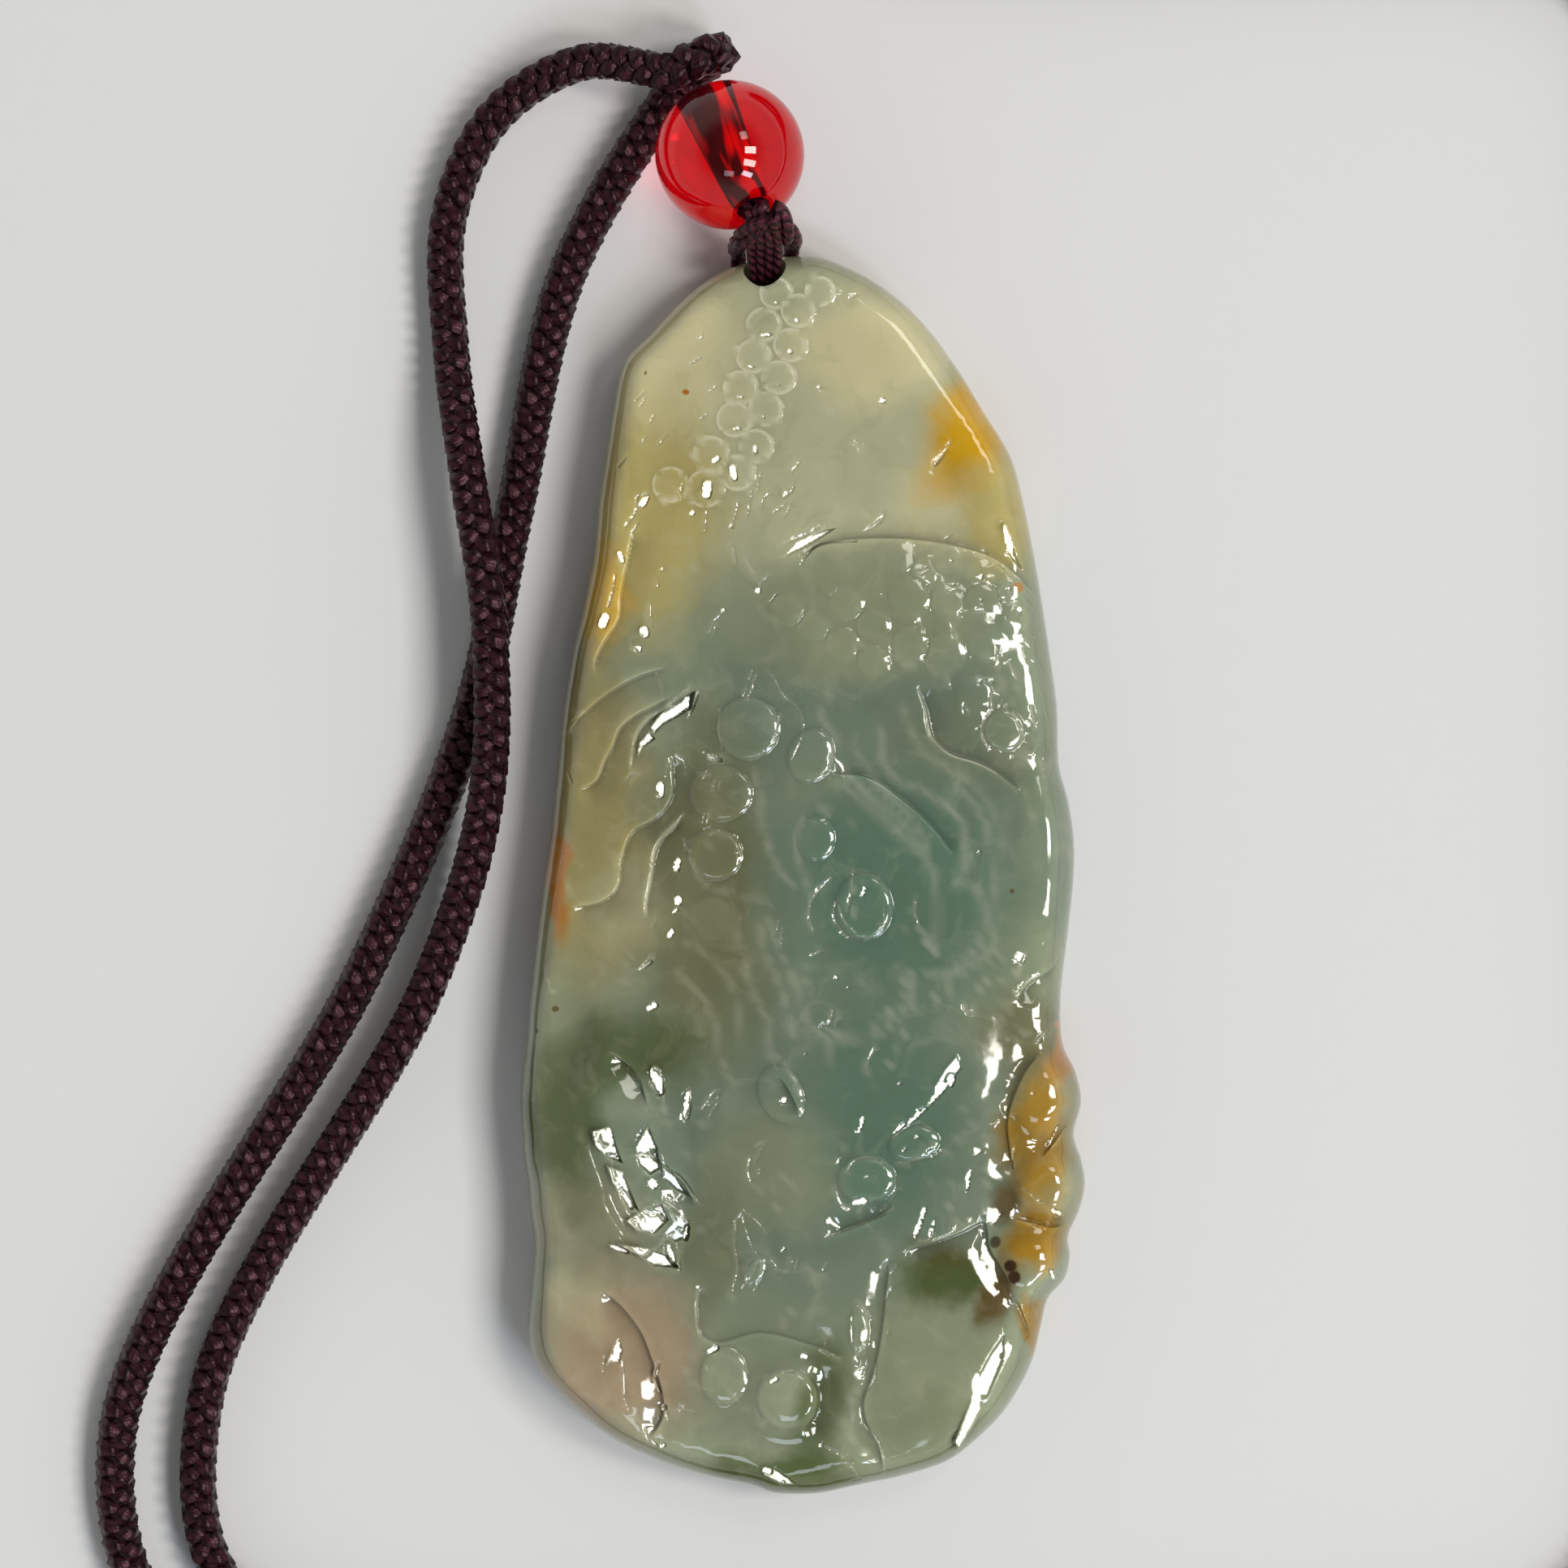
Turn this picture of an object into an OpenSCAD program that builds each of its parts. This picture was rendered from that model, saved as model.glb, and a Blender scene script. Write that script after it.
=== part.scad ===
// Carved jade pendant on a braided neck cord, lying on its flat back.
// Millimetres, +Z up, +Y towards the bead. The origin is on the jade's back, at its middle.

/* [Jade plaque] */
// Height of the carved plaque, from its lowest point to its top edge
jade_h = 66.6; // [64:0.1:69]
// Thickness of the plaque at its crown, before the relief is added
jade_t = 6.2; // [5.6:0.1:7]
// Height of the widest line of the rim above the back
rim_z = 2.4; // [2:0.1:3]
// How far the rounding of the front reaches in from the rim
rim_reach = 4.5; // [3.5:0.1:6]
// Strength of the carved relief, where 1 is as carved
relief = 1; // [0.5:0.05:1.1]
// Radius of the slanted hole for the hanging thread
hole_r = 1.15; // [1.1:0.01:1.25]

/* [Bead and threads] */
// Diameter of the round bead
bead_d = 8; // [7.6:0.05:8]
// Diameter of the bore through the bead
bore_d = 1.7; // [1.6:0.05:2]
// Diameter of the bundle of threads inside the bead
bundle_d = 1.3; // [1:0.05:1.35]

/* [Neck cord] */
// Diameter of the braided neck cord
cord_d = 2.5; // [2.2:0.05:2.5]
// Number of sides of the plain tube that stands for the cord
cord_sides = 8; // [8:1:10]

/* [Mesh] */
// Rows of the relief's mesh along the plaque
mesh_rows = 108; // [60:2:120]
// Columns of the relief's mesh across the plaque
mesh_cols = 42; // [24:2:46]

/* [Hidden] */

// Height at which the plaque, its hole and the places of all that hangs on it are drawn
drawn_h = 66.6;

// The plaque's outline, a row for each height. Columns: height y, left edge x, right edge x.
edge_rows = [
    [-33.3, -0.6, 0.3], [-33.2, -1.5, 1.4], [-32.8, -2.6, 3.2], [-32.3, -5.0, 5.6],
    [-31.5, -7.5, 8.0], [-30.3, -10.0, 9.6], [-29.0, -11.7, 10.9], [-27.5, -13.3, 11.9],
    [-26.0, -14.3, 12.6], [-24.4, -14.6, 13.0], [-22.8, -14.5, 13.4], [-21.7, -14.4, 14.3],
    [-20.5, -14.3, 14.6], [-19.4, -14.3, 14.5], [-18.0, -14.5, 15.1], [-16.6, -14.6, 15.4],
    [-15.3, -14.8, 15.2], [-13.9, -14.9, 14.8], [-12.2, -15.0, 15.2], [-10.6, -14.9, 14.9],
    [-9.0, -14.7, 14.2], [-6.5, -14.5, 14.1], [-3.0, -14.1, 14.5], [0.0, -13.7, 14.8],
    [2.0, -13.4, 14.8], [4.0, -13.2, 14.5], [6.0, -13.0, 14.0], [9.0, -12.7, 13.9],
    [12.0, -12.2, 13.5], [14.0, -11.7, 13.2], [17.0, -11.1, 12.7], [20.0, -10.8, 12.1],
    [22.5, -10.4, 11.4], [25.0, -10.0, 9.9], [27.0, -9.6, 8.7], [28.0, -9.1, 8.0],
    [29.1, -8.0, 7.2], [30.6, -6.6, 5.8], [31.9, -5.1, 4.1], [32.6, -3.9, 2.8],
    [33.1, -2.2, 1.6], [33.3, -0.8, 0.8]
];

// Broad forms of the carving. Columns: x, y, half width, half height, turn, rise.
forms = [
    [4.5, -14.0, 7.5, 12.0, -12, 0.7],
    [8.2, -25.6, 4.6, 6.6, -14, 1.5],
    [-10.8, -24.8, 4.2, 5.0, 8, 0.9],
    [-0.6, -27.8, 2.6, 2.4, 0, 0.8],
    [4.4, 13.3, 6.0, 4.2, 0, 0.8],
    [10.4, 10.6, 3.6, 5.4, 16, 0.7],
    [-8.3, 18.0, 3.2, 7.0, 8, 0.5],
    [-8.8, 4.2, 3.2, 6.4, -20, 0.6],
    [-9.5, -14.6, 4.0, 6.0, 14, 0.8],
    [8.6, 0.5, 5.0, 7.0, 20, 0.5],
    [13.2, -11.8, 2.2, 2.6, 0, 0.9],
    [13.4, -16.6, 2.2, 2.2, 0, 1.0],
    [12.6, -20.9, 2.2, 2.2, 0, 0.9],
    [5.8, 21.5, 5.0, 5.5, 20, -0.5],
    [-3.6, 14.5, 2.2, 7.0, 6, -0.5],
    [-3.4, -3.0, 3.4, 6.5, 0, -0.6],
    [-12.6, -8.6, 2.6, 3.6, 0, -0.4]
];

// Round knobs: scales, coins, balls and the eye. Columns: x, y, radius, rise.
knobs = [
    [1.2, 31.0, 0.9, 0.25], [-0.1, 29.9, 0.9, 0.25], [-0.5, 28.2, 0.9, 0.3],
    [-2.1, 29.1, 0.9, 0.25], [-1.1, 26.5, 0.9, 0.3], [-2.7, 27.4, 0.9, 0.25],
    [-3.2, 25.9, 0.9, 0.25], [-1.8, 24.7, 0.9, 0.3], [-3.6, 24.2, 0.9, 0.3],
    [-2.3, 22.8, 0.9, 0.3], [-4.8, 22.6, 0.9, 0.35], [-3.2, 21.3, 0.9, 0.3],
    [-4.9, 20.4, 0.9, 0.3],
    [-0.6, 14.1, 1.0, 0.3], [0.8, 13.2, 0.9, 0.25], [2.4, 14.5, 1.0, 0.3],
    [2.3, 12.3, 1.0, 0.3], [4.0, 13.4, 1.0, 0.3], [4.0, 11.4, 0.9, 0.3],
    [5.9, 12.2, 1.1, 0.3], [5.8, 14.8, 1.2, 0.25], [7.8, 11.7, 1.1, 0.3],
    [8.0, 16.9, 0.9, 0.3], [9.7, 14.7, 0.9, 0.3], [9.2, 9.6, 1.0, 0.35],
    [10.8, 7.6, 0.9, 0.4],
    [-2.7, 7.8, 1.7, 0.7], [-4.3, 4.6, 1.5, 0.6], [-4.4, 1.3, 1.3, 0.6],
    [0.8, 6.1, 1.2, 0.4], [1.0, 1.8, 1.0, 0.3], [3.5, -1.7, 1.5, 0.5],
    [-0.9, -11.6, 1.3, 0.5], [3.6, -16.1, 1.5, 0.6], [6.1, -14.2, 1.2, 0.4]
];

// Cut lines. Columns: start x, start y, end x, end y, half width, depth.
cuts = [
    [-2.1, 19.5, -2.0, 16.5, 0.7, 0.3], [-2.0, 16.5, 1.5, 11.0, 0.7, 0.3],
    [0.2, 16.8, 4.6, 18.0, 0.8, 0.4], [4.6, 18.0, 9.0, 17.9, 0.8, 0.4],
    [9.0, 17.9, 12.2, 15.6, 0.8, 0.5],
    [1.6, 10.4, 7.6, 4.0, 0.7, 0.35], [7.6, 4.0, 11.4, 3.0, 0.7, 0.3],
    [3.8, 3.2, 8.2, -1.4, 0.7, 0.35],
    [1.5, -19.2, 5.0, -17.7, 0.7, 0.4], [5.8, -19.5, 10.0, -18.2, 0.8, 0.6],
    [5.0, -20.6, 4.3, -25.0, 0.8, 0.7], [4.3, -25.0, 3.2, -28.6, 0.8, 0.7],
    [3.2, -28.6, 4.4, -31.6, 0.8, 0.6],
    [-4.8, -21.6, -5.0, -24.0, 0.7, 0.5], [-5.0, -24.0, 1.2, -25.2, 0.7, 0.5],
    [-14.0, -21.4, -9.6, -21.2, 0.8, 0.5], [-9.6, -21.2, -7.4, -26.0, 0.8, 0.5],
    [-7.4, -26.0, -8.0, -30.4, 0.8, 0.5],
    [11.0, -10.0, 10.8, -18.6, 0.8, 0.5], [10.8, -18.6, 12.6, -25.0, 0.8, 0.7],
    [-13.0, 7.6, -8.8, 11.0, 0.7, 0.4], [-8.8, 11.0, -5.8, 12.6, 0.7, 0.3]
];

// Slanted hole: it leaves the front at the notch and comes out in the groove of the back.
hole_x = -1.85;
hole_top = [hole_x, 33.3, 4.6];
hole_slant = 48;
hole_len = 16;

// Groove in the back, where the thread lies clear of what the jade rests on
groove_r = 5;
groove_depth = 1.5;
groove_from = 27.9;
groove_len = 8;

// How much smaller the flat back is than the outline
back_inset = 1.1;

// Bead: its middle, and the way its bore points out towards the jade
bead_at = [-3.7, 38.6, bead_d / 2];
bore_turn = 22;
bore_lift = 30;
bore_way = [sin(bore_turn) * cos(bore_lift), -cos(bore_turn) * cos(bore_lift), sin(bore_lift)];

// Legs of the hanging thread, from the bead to the groove in the back.
// Columns: x, y, z, half width, half thickness.
leg_rows = [
    [-1.95, 34.55, 6.30, 0.80, 0.55],
    [-1.85, 33.85, 5.65, 0.95, 0.50],
    [-1.85, 33.15, 4.55, 0.95, 0.48],
    [-1.85, 32.10, 3.52, 0.85, 0.50],
    [-1.85, 29.75, 1.40, 0.85, 0.45],
    [-1.85, 29.20, 0.95, 0.85, 0.42],
    [-1.85, 29.30, 0.58, 0.85, 0.40],
    [-1.85, 30.10, 0.52, 0.90, 0.40]
];

// Bight of the hanging thread: up both sides behind the jade and over the legs.
// Columns: x, y, z, half width, half thickness.
bight_rows = [
    [-2.10, 29.90, 0.52, 0.45, 0.40],
    [-2.60, 31.00, 0.54, 0.45, 0.42],
    [-3.10, 32.40, 0.56, 0.45, 0.45],
    [-3.35, 33.60, 0.95, 0.48, 0.45],
    [-3.35, 33.80, 2.40, 0.52, 0.48],
    [-3.20, 33.92, 4.00, 0.60, 0.52],
    [-2.85, 34.12, 5.50, 0.70, 0.60],
    [-1.55, 35.20, 6.95, 0.85, 0.75],
    [-0.70, 34.30, 5.60, 0.70, 0.65],
    [-0.40, 34.12, 4.00, 0.60, 0.58],
    [-0.35, 34.05, 2.40, 0.52, 0.50],
    [-0.40, 33.85, 0.95, 0.48, 0.45],
    [-0.70, 32.40, 0.56, 0.45, 0.45],
    [-1.15, 31.00, 0.54, 0.45, 0.42],
    [-1.60, 29.90, 0.52, 0.45, 0.40]
];
thread_sides = 10;

// Route of the neck cord's middle line, from the fold over the bead and back to it
cord_route = [
    [-6.7, 43.1, 3.9], [-11.6, 43.8, 2.2], [-16.4, 41.0, 1.3], [-18.9, 35.5, 1.3],
    [-18.8, 28.5, 1.4], [-17.8, 21.5, 3.4], [-16.6, 13.5, 3.9], [-16.8, 4.0, 3.9],
    [-20.0, -6.0, 2.4], [-32.0, -28.0, 1.3], [-31.0, -38.2, 1.3], [-22.0, -41.7, 1.3],
    [35.0, -41.5, 1.3], [43.0, -38.9, 1.3], [45.6, -31.0, 1.3], [45.6, 4.0, 1.3],
    [45.6, 40.0, 1.3], [43.3, 47.9, 1.3], [35.0, 50.4, 1.3], [11.0, 50.3, 1.3],
    [5.0, 51.4, 1.3], [2.4, 54.8, 1.3], [5.2, 58.5, 1.3], [11.0, 58.8, 1.3],
    [36.0, 53.3, 1.3], [45.3, 50.3, 1.3], [48.5, 41.0, 1.3], [48.5, 4.0, 1.3],
    [48.5, -32.0, 1.3], [45.3, -41.5, 1.3], [35.0, -44.4, 1.3], [-22.0, -44.6, 1.3],
    [-34.3, -40.6, 1.3], [-36.8, -30.0, 1.3], [-23.4, -5.0, 1.3], [-17.6, 9.0, 1.3],
    [-15.4, 19.5, 1.3], [-12.5, 32.5, 1.3], [-7.4, 41.4, 1.3]
];
ring_step = 8.2;

// Route of the fold between the cord's two ends, from the lower end up and over
fold_route = [
    [-6.1, 42.9, 1.3], [-5.1, 43.8, 1.4], [-4.4, 44.1, 2.3], [-4.4, 44.1, 3.5],
    [-5.0, 43.9, 4.45], [-5.9, 43.5, 4.4]
];
fold_parts = 2;

rim_top = jade_t - rim_z;

// How far the bead, the threads and the fold move with the plaque's top edge
top_shift = (jade_h - drawn_h) / 2;

function unit(v) = v / norm(v);
function ease(t) = t <= 0 ? 0 : t >= 1 ? 1 : t * t * (3 - 2 * t);
function turned(p, a) = [p[0] * cos(a) + p[1] * sin(a), p[1] * cos(a) - p[0] * sin(a)];

// Smooth curve between b and c, with a and d as the points on either side
function blend(a, b, c, d, t) =
    ((2 * b) + (c - a) * t + (2 * a - 5 * b + 4 * c - d) * t * t
    + (3 * b - a - 3 * c + d) * t * t * t) / 2;

// A row of the outline at any place along the table, from 0 to 1
function edge_at(v) =
    let (last = len(edge_rows) - 1, s = v * last, i = min(floor(s), last - 1), t = s - i)
    blend(edge_rows[max(i - 1, 0)], edge_rows[i], edge_rows[i + 1],
        edge_rows[min(i + 2, last)], t);

// Distance from a point to the stretch between two others
function stretch_dist(p, a, b) =
    let (ab = b - a, t = max(0, min(1, (p - a) * ab / (ab * ab))))
    norm(p - a - t * ab);

mesh_edges = [for (j = [0:mesh_rows]) edge_at(j / mesh_rows)];
rim_line = concat(
    [for (row = edge_rows) [row[1], row[0]]],
    [for (i = [len(edge_rows) - 1:-1:0]) [edge_rows[i][2], edge_rows[i][0]]]
);
function rim_dist(p) =
    min([for (i = [0:len(rim_line) - 1])
        stretch_dist(p, rim_line[i], rim_line[(i + 1) % len(rim_line)])]);

// Rise of the front above the rim: a rounded edge and a slow crown, thinner at the top end
function crown(p, d) =
    let (edge = 1 - min(d / rim_reach, 1), thin = 1 - 0.3 * ease((p[1] - 14) / 18))
    rim_top * thin * (0.88 * sqrt(1 - edge * edge) + 0.12 * ease(d / 13));

// Carved relief, as a rise above the crown
function form_rise(p) = [for (f = forms)
    let (q = turned([p[0] - f[0], p[1] - f[1]], f[4]),
        s = 1 - pow(q[0] / f[2], 2) - pow(q[1] / f[3], 2))
    s > 0 ? f[5] * s * s * (3 - 2 * s) : 0];
function knob_rise(p) = [for (b = knobs)
    let (s = 1 - pow(norm([p[0] - b[0], p[1] - b[1]]) / b[2], 2))
    s > 0 ? b[3] * sqrt(s) : 0];
function cut_depth(p) = [for (c = cuts)
    let (s = 1 - stretch_dist(p, [c[0], c[1]], [c[2], c[3]]) / c[4])
    s > 0 ? c[5] * s : 0];
function sum(list, i = 0) = i < len(list) ? list[i] + sum(list, i + 1) : 0;
function carving(p, d) =
    relief * ease(d / 1.6) * (sum(form_rise(p)) + max(knob_rise(p)) - max(cut_depth(p)));

// Columns are closer together near the rim, where the front turns down
function column_at(u) = 0.65 * u + 0.35 * (1 - cos(180 * u)) / 2;

function front_point(i, j) =
    let (row = mesh_edges[j], p = [row[1] + (row[2] - row[1]) * column_at(i / mesh_cols), row[0]],
        on_rim = i == 0 || i == mesh_cols || j == 0 || j == mesh_rows,
        d = on_rim ? 0 : rim_dist(p))
    [p[0], p[1], rim_z + (on_rim ? 0 : crown(p, d) + carving(p, d))];

// The rim's points in order round the plaque, as places in the front's list
function spot(i, j) = j * (mesh_cols + 1) + i;
rim_spots = concat(
    [for (i = [0:mesh_cols - 1]) spot(i, 0)],
    [for (j = [0:mesh_rows - 1]) spot(mesh_cols, j)],
    [for (i = [mesh_cols:-1:1]) spot(i, mesh_rows)],
    [for (j = [mesh_rows:-1:1]) spot(0, j)]
);

module plaque_body() {
    front = [for (j = [0:mesh_rows], i = [0:mesh_cols]) front_point(i, j)];
    shrink = [1 - back_inset / 14, 1 - back_inset / (drawn_h / 2)];
    back = [for (s = rim_spots) [front[s][0] * shrink[0], front[s][1] * shrink[1], 0]];
    n = len(rim_spots);
    base = len(front);
    polyhedron(
        points = concat(front, back),
        faces = concat(
            [for (j = [0:mesh_rows - 1], i = [0:mesh_cols - 1])
                [spot(i, j), spot(i, j + 1), spot(i + 1, j + 1)]],
            [for (j = [0:mesh_rows - 1], i = [0:mesh_cols - 1])
                [spot(i, j), spot(i + 1, j + 1), spot(i + 1, j)]],
            [for (i = [0:n - 1]) [rim_spots[i], rim_spots[(i + 1) % n], base + (i + 1) % n]],
            [for (i = [0:n - 1]) [rim_spots[i], base + (i + 1) % n, base + i]],
            [[for (i = [0:n - 1]) base + i]]
        ),
        convexity = 6
    );
}

// Drawn at its drawn height, with its hole and groove, and then brought to jade_h
module jade_plaque() {
    color("#8f9c7c")
    resize([0, jade_h, 0], auto = [true, false, false])
    difference() {
        plaque_body();
        translate(hole_top)
        rotate([-hole_slant, 0, 0])
        cylinder(r = hole_r, h = hole_len, center = true, $fn = 48);
        translate([hole_x, groove_from, groove_depth - groove_r])
        rotate([-90, 0, 0])
        cylinder(r = groove_r, h = groove_len, $fn = 96);
    }
}

module red_bead() {
    color("#b8001c")
    translate(bead_at + [0, top_shift, 0])
    difference() {
        sphere(d = bead_d, $fn = 96);
        rotate([0, 0, bore_turn])
        rotate([90 - bore_lift, 0, 0])
        cylinder(d = bore_d, h = 2 * bead_d, center = true, $fn = 48);
    }
}

// Side vectors along a path, each carried over from the one before with no twist
function carried(side, way) = unit(side - (side * way) * way);
function sides_along(path, ways, first) = [
    for (i = 0, side = carried(first, ways[0]); i < len(path);
        i = i + 1, side = i < len(path) ? carried(side, ways[i]) : side) side];

// A round tube along a path. Each ring turns to its way, and its first corner lies to that side.
module swept(path, ways, radius, first, n) {
    side = sides_along(path, ways, first);
    last = len(path) - 1;
    points = [for (i = [0:last], a = [0:n - 1])
        path[i] + radius * (cos(360 * a / n) * side[i] + sin(360 * a / n) * cross(ways[i], side[i]))];
    polyhedron(
        points = points,
        faces = concat(
            [[for (a = [0:n - 1]) a]],
            [for (i = [0:last - 1], a = [0:n - 1])
                [i * n + a, (i + 1) * n + a, (i + 1) * n + (a + 1) % n]],
            [for (i = [0:last - 1], a = [0:n - 1])
                [i * n + a, (i + 1) * n + (a + 1) % n, i * n + (a + 1) % n]],
            [[for (a = [n - 1:-1:0]) last * n + a]]
        ),
        convexity = 10
    );
}

// A flattened round end for each row, and a smooth skin over each two that follow
module thread_spot(row) {
    translate([row[0], row[1], row[2]])
    scale([row[3], row[4], row[4]])
    sphere(r = 1, $fn = thread_sides);
}

module thread_run(rows) {
    for (i = [0:len(rows) - 2])
    hull() {
        thread_spot(rows[i]);
        thread_spot(rows[i + 1]);
    }
}

module hanging_thread() {
    bundle_r = bundle_d / 2;
    far_end = bead_at - bore_way * (bead_d / 2 - bundle_r - 0.1);
    near_end = bead_at + bore_way * (bead_d / 2 - 0.3);
    color("#2a1419")
    translate([0, top_shift, 0])
    union() {
        thread_run(concat(
            [concat(far_end, [bundle_r, bundle_r]), concat(near_end, [bundle_r, bundle_r])],
            leg_rows));
        thread_run(bight_rows);
    }
}

// The whole loop's points in order: the fold, then the cord. Its curve passes through all of them.
loop_points = concat(fold_route, cord_route);
fold_count = len(fold_route);
function loop_point(i) = loop_points[(i + len(loop_points)) % len(loop_points)];

// Terms of the curve after point i, with knots spaced by the root of each gap
function loop_terms(i) =
    let (p = [for (j = [-1:2]) loop_point(i + j)],
        g = [for (j = [0:2]) sqrt(norm(p[j + 1] - p[j]))],
        m1 = (p[1] - p[0]) / g[0] - (p[2] - p[0]) / (g[0] + g[1]) + (p[2] - p[1]) / g[1],
        m2 = (p[2] - p[1]) / g[1] - (p[3] - p[1]) / (g[1] + g[2]) + (p[3] - p[2]) / g[2],
        a = m1 * g[1], b = m2 * g[1], gap = p[2] - p[1])
    [p[1], a, 3 * gap - 2 * a - b, a + b - 2 * gap];
function loop_at(i, t) = let (c = loop_terms(i)) c[0] + t * (c[1] + t * (c[2] + t * c[3]));
function loop_way(i, t) = let (c = loop_terms(i)) unit(c[1] + t * (2 * c[2] + 3 * t * c[3]));

module cord_run(spots) {
    path = [for (s = spots) loop_at(s[0], s[1])];
    ways = [for (s = spots) loop_way(s[0], s[1])];
    swept(path, ways, cord_d / 2, [0, 0, 1], cord_sides);
}

module cord_fold() {
    color("#341a22")
    translate([0, top_shift, 0])
    cord_run([for (i = [-1:fold_count - 1], s = [0:fold_parts])
        if (s < fold_parts || i == fold_count - 1) [i, s / fold_parts]]);
}

module neck_cord() {
    color("#2a141b")
    translate([0, top_shift, 0])
    cord_run([for (i = [fold_count:len(loop_points) - 2])
        let (parts = max(1, round(norm(loop_point(i + 1) - loop_point(i)) / ring_step)))
        for (s = [0:parts])
        if (s < parts || i == len(loop_points) - 2) [i, s / parts]]);
}

jade_plaque();
hanging_thread();
red_bead();
cord_fold();
neck_cord();
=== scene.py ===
import math

import bmesh
import bpy
import numpy as np
from bpy.props import FloatProperty, FloatVectorProperty, IntProperty, PointerProperty
from mathutils import Matrix, Vector
from mathutils.geometry import delaunay_2d_cdt


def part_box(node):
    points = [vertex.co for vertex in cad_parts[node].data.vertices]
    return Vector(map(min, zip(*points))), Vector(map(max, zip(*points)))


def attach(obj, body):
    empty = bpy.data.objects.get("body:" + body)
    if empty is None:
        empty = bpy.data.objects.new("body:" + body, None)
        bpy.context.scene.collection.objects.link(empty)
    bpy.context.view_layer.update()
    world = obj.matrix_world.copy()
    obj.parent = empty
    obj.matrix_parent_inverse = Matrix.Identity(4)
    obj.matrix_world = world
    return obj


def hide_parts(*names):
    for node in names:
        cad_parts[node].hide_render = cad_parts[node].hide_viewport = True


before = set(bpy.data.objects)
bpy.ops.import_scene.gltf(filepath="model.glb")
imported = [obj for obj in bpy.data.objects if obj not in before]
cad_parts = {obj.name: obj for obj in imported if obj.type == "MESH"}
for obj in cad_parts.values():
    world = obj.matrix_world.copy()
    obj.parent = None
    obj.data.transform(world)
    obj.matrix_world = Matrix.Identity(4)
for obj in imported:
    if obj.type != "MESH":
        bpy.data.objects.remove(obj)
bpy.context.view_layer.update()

bl_info = {
    "name": "Carved Jade Pendant",
    "version": (1, 0, 0),
    "blender": (4, 5, 0),
    "location": "3D Viewport > Sidebar > Pendant",
    "description": "Dresses a carved jade plaque with its bead, threads and braided neck cord",
    "category": "Object",
}

# Tables and helpers below are in millimetres; meshes are made in metres
MM = 0.001


def linear(code):
    """Linear RGB of an sRGB hex colour."""
    parts = [int(code[i:i + 2], 16) / 255 for i in (1, 3, 5)]
    return tuple(p / 12.92 if p <= 0.04045 else ((p + 0.055) / 1.055) ** 2.4 for p in parts)


def paint(code):
    """An sRGB hex colour as a socket takes it, linear and opaque."""
    return (*linear(code), 1)


def fill(tree, node, inputs):
    """Set or link a node's inputs by name or place."""
    for key, value in inputs.items():
        if isinstance(value, bpy.types.NodeSocket):
            tree.links.new(value, node.inputs[key])
        else:
            node.inputs[key].default_value = value


def add_node(tree, kind, inputs=None, **settings):
    """Add a node, with its settings and its inputs."""
    node = tree.nodes.new(kind)
    for key, value in settings.items():
        setattr(node, key, value)
    fill(tree, node, inputs or {})
    return node


def new_material(name):
    """A new material, its node tree and its Principled shader."""
    material = bpy.data.materials.new(name)
    material.use_nodes = True
    tree = material.node_tree
    return material, tree, tree.nodes["Principled BSDF"]


def mesh_piece(name, points, faces, material, slot=None, replaced=None):
    """A smooth mesh object from points in millimetres, with its material. Given a slot, it rides on the
    pendant's one body and stands for a node of the frame, which is hidden."""
    mesh = bpy.data.meshes.new(name)
    mesh.from_pydata((np.asarray(points) * MM).tolist(), [], faces)
    mesh.materials.append(material)
    mesh.shade_smooth()
    piece = bpy.data.objects.new(name, mesh)
    bpy.context.scene.collection.objects.link(piece)
    if slot:
        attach(piece, "root")
        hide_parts(replaced)
    return piece


def ease(t):
    """Smooth step from 0 to 1."""
    t = np.clip(t, 0, 1)
    return t * t * (3 - 2 * t)


def unit(rows):
    """Vectors brought to length 1."""
    return rows / np.linalg.norm(rows, axis=1)[:, None]


def run_lengths(points):
    """Length along a line at each of its points."""
    return np.append(0, np.cumsum(np.linalg.norm(np.diff(points, axis=0), axis=1)))


def curve(p, parts):
    """Smooth curve through all points but the first and the last, which only steer its ends, with
    parts steps in each gap."""
    t = (np.arange(parts) / parts)[:, None]
    made = [(2 * b + (c - a) * t + (2 * a - 5 * b + 4 * c - d) * t ** 2
             + (3 * b - a - 3 * c + d) * t ** 3) / 2 for a, b, c, d in zip(p, p[1:], p[2:], p[3:])]
    return np.vstack(made + [p[-2:-1]])


def curve_through(points, parts):
    """Smooth curve through all of the points, with ends that run on straight."""
    p = np.asarray(points, float)
    return curve(np.vstack([2 * p[0] - p[1], p, 2 * p[-1] - p[-2]]), parts)


# Neck cord and fold

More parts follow.
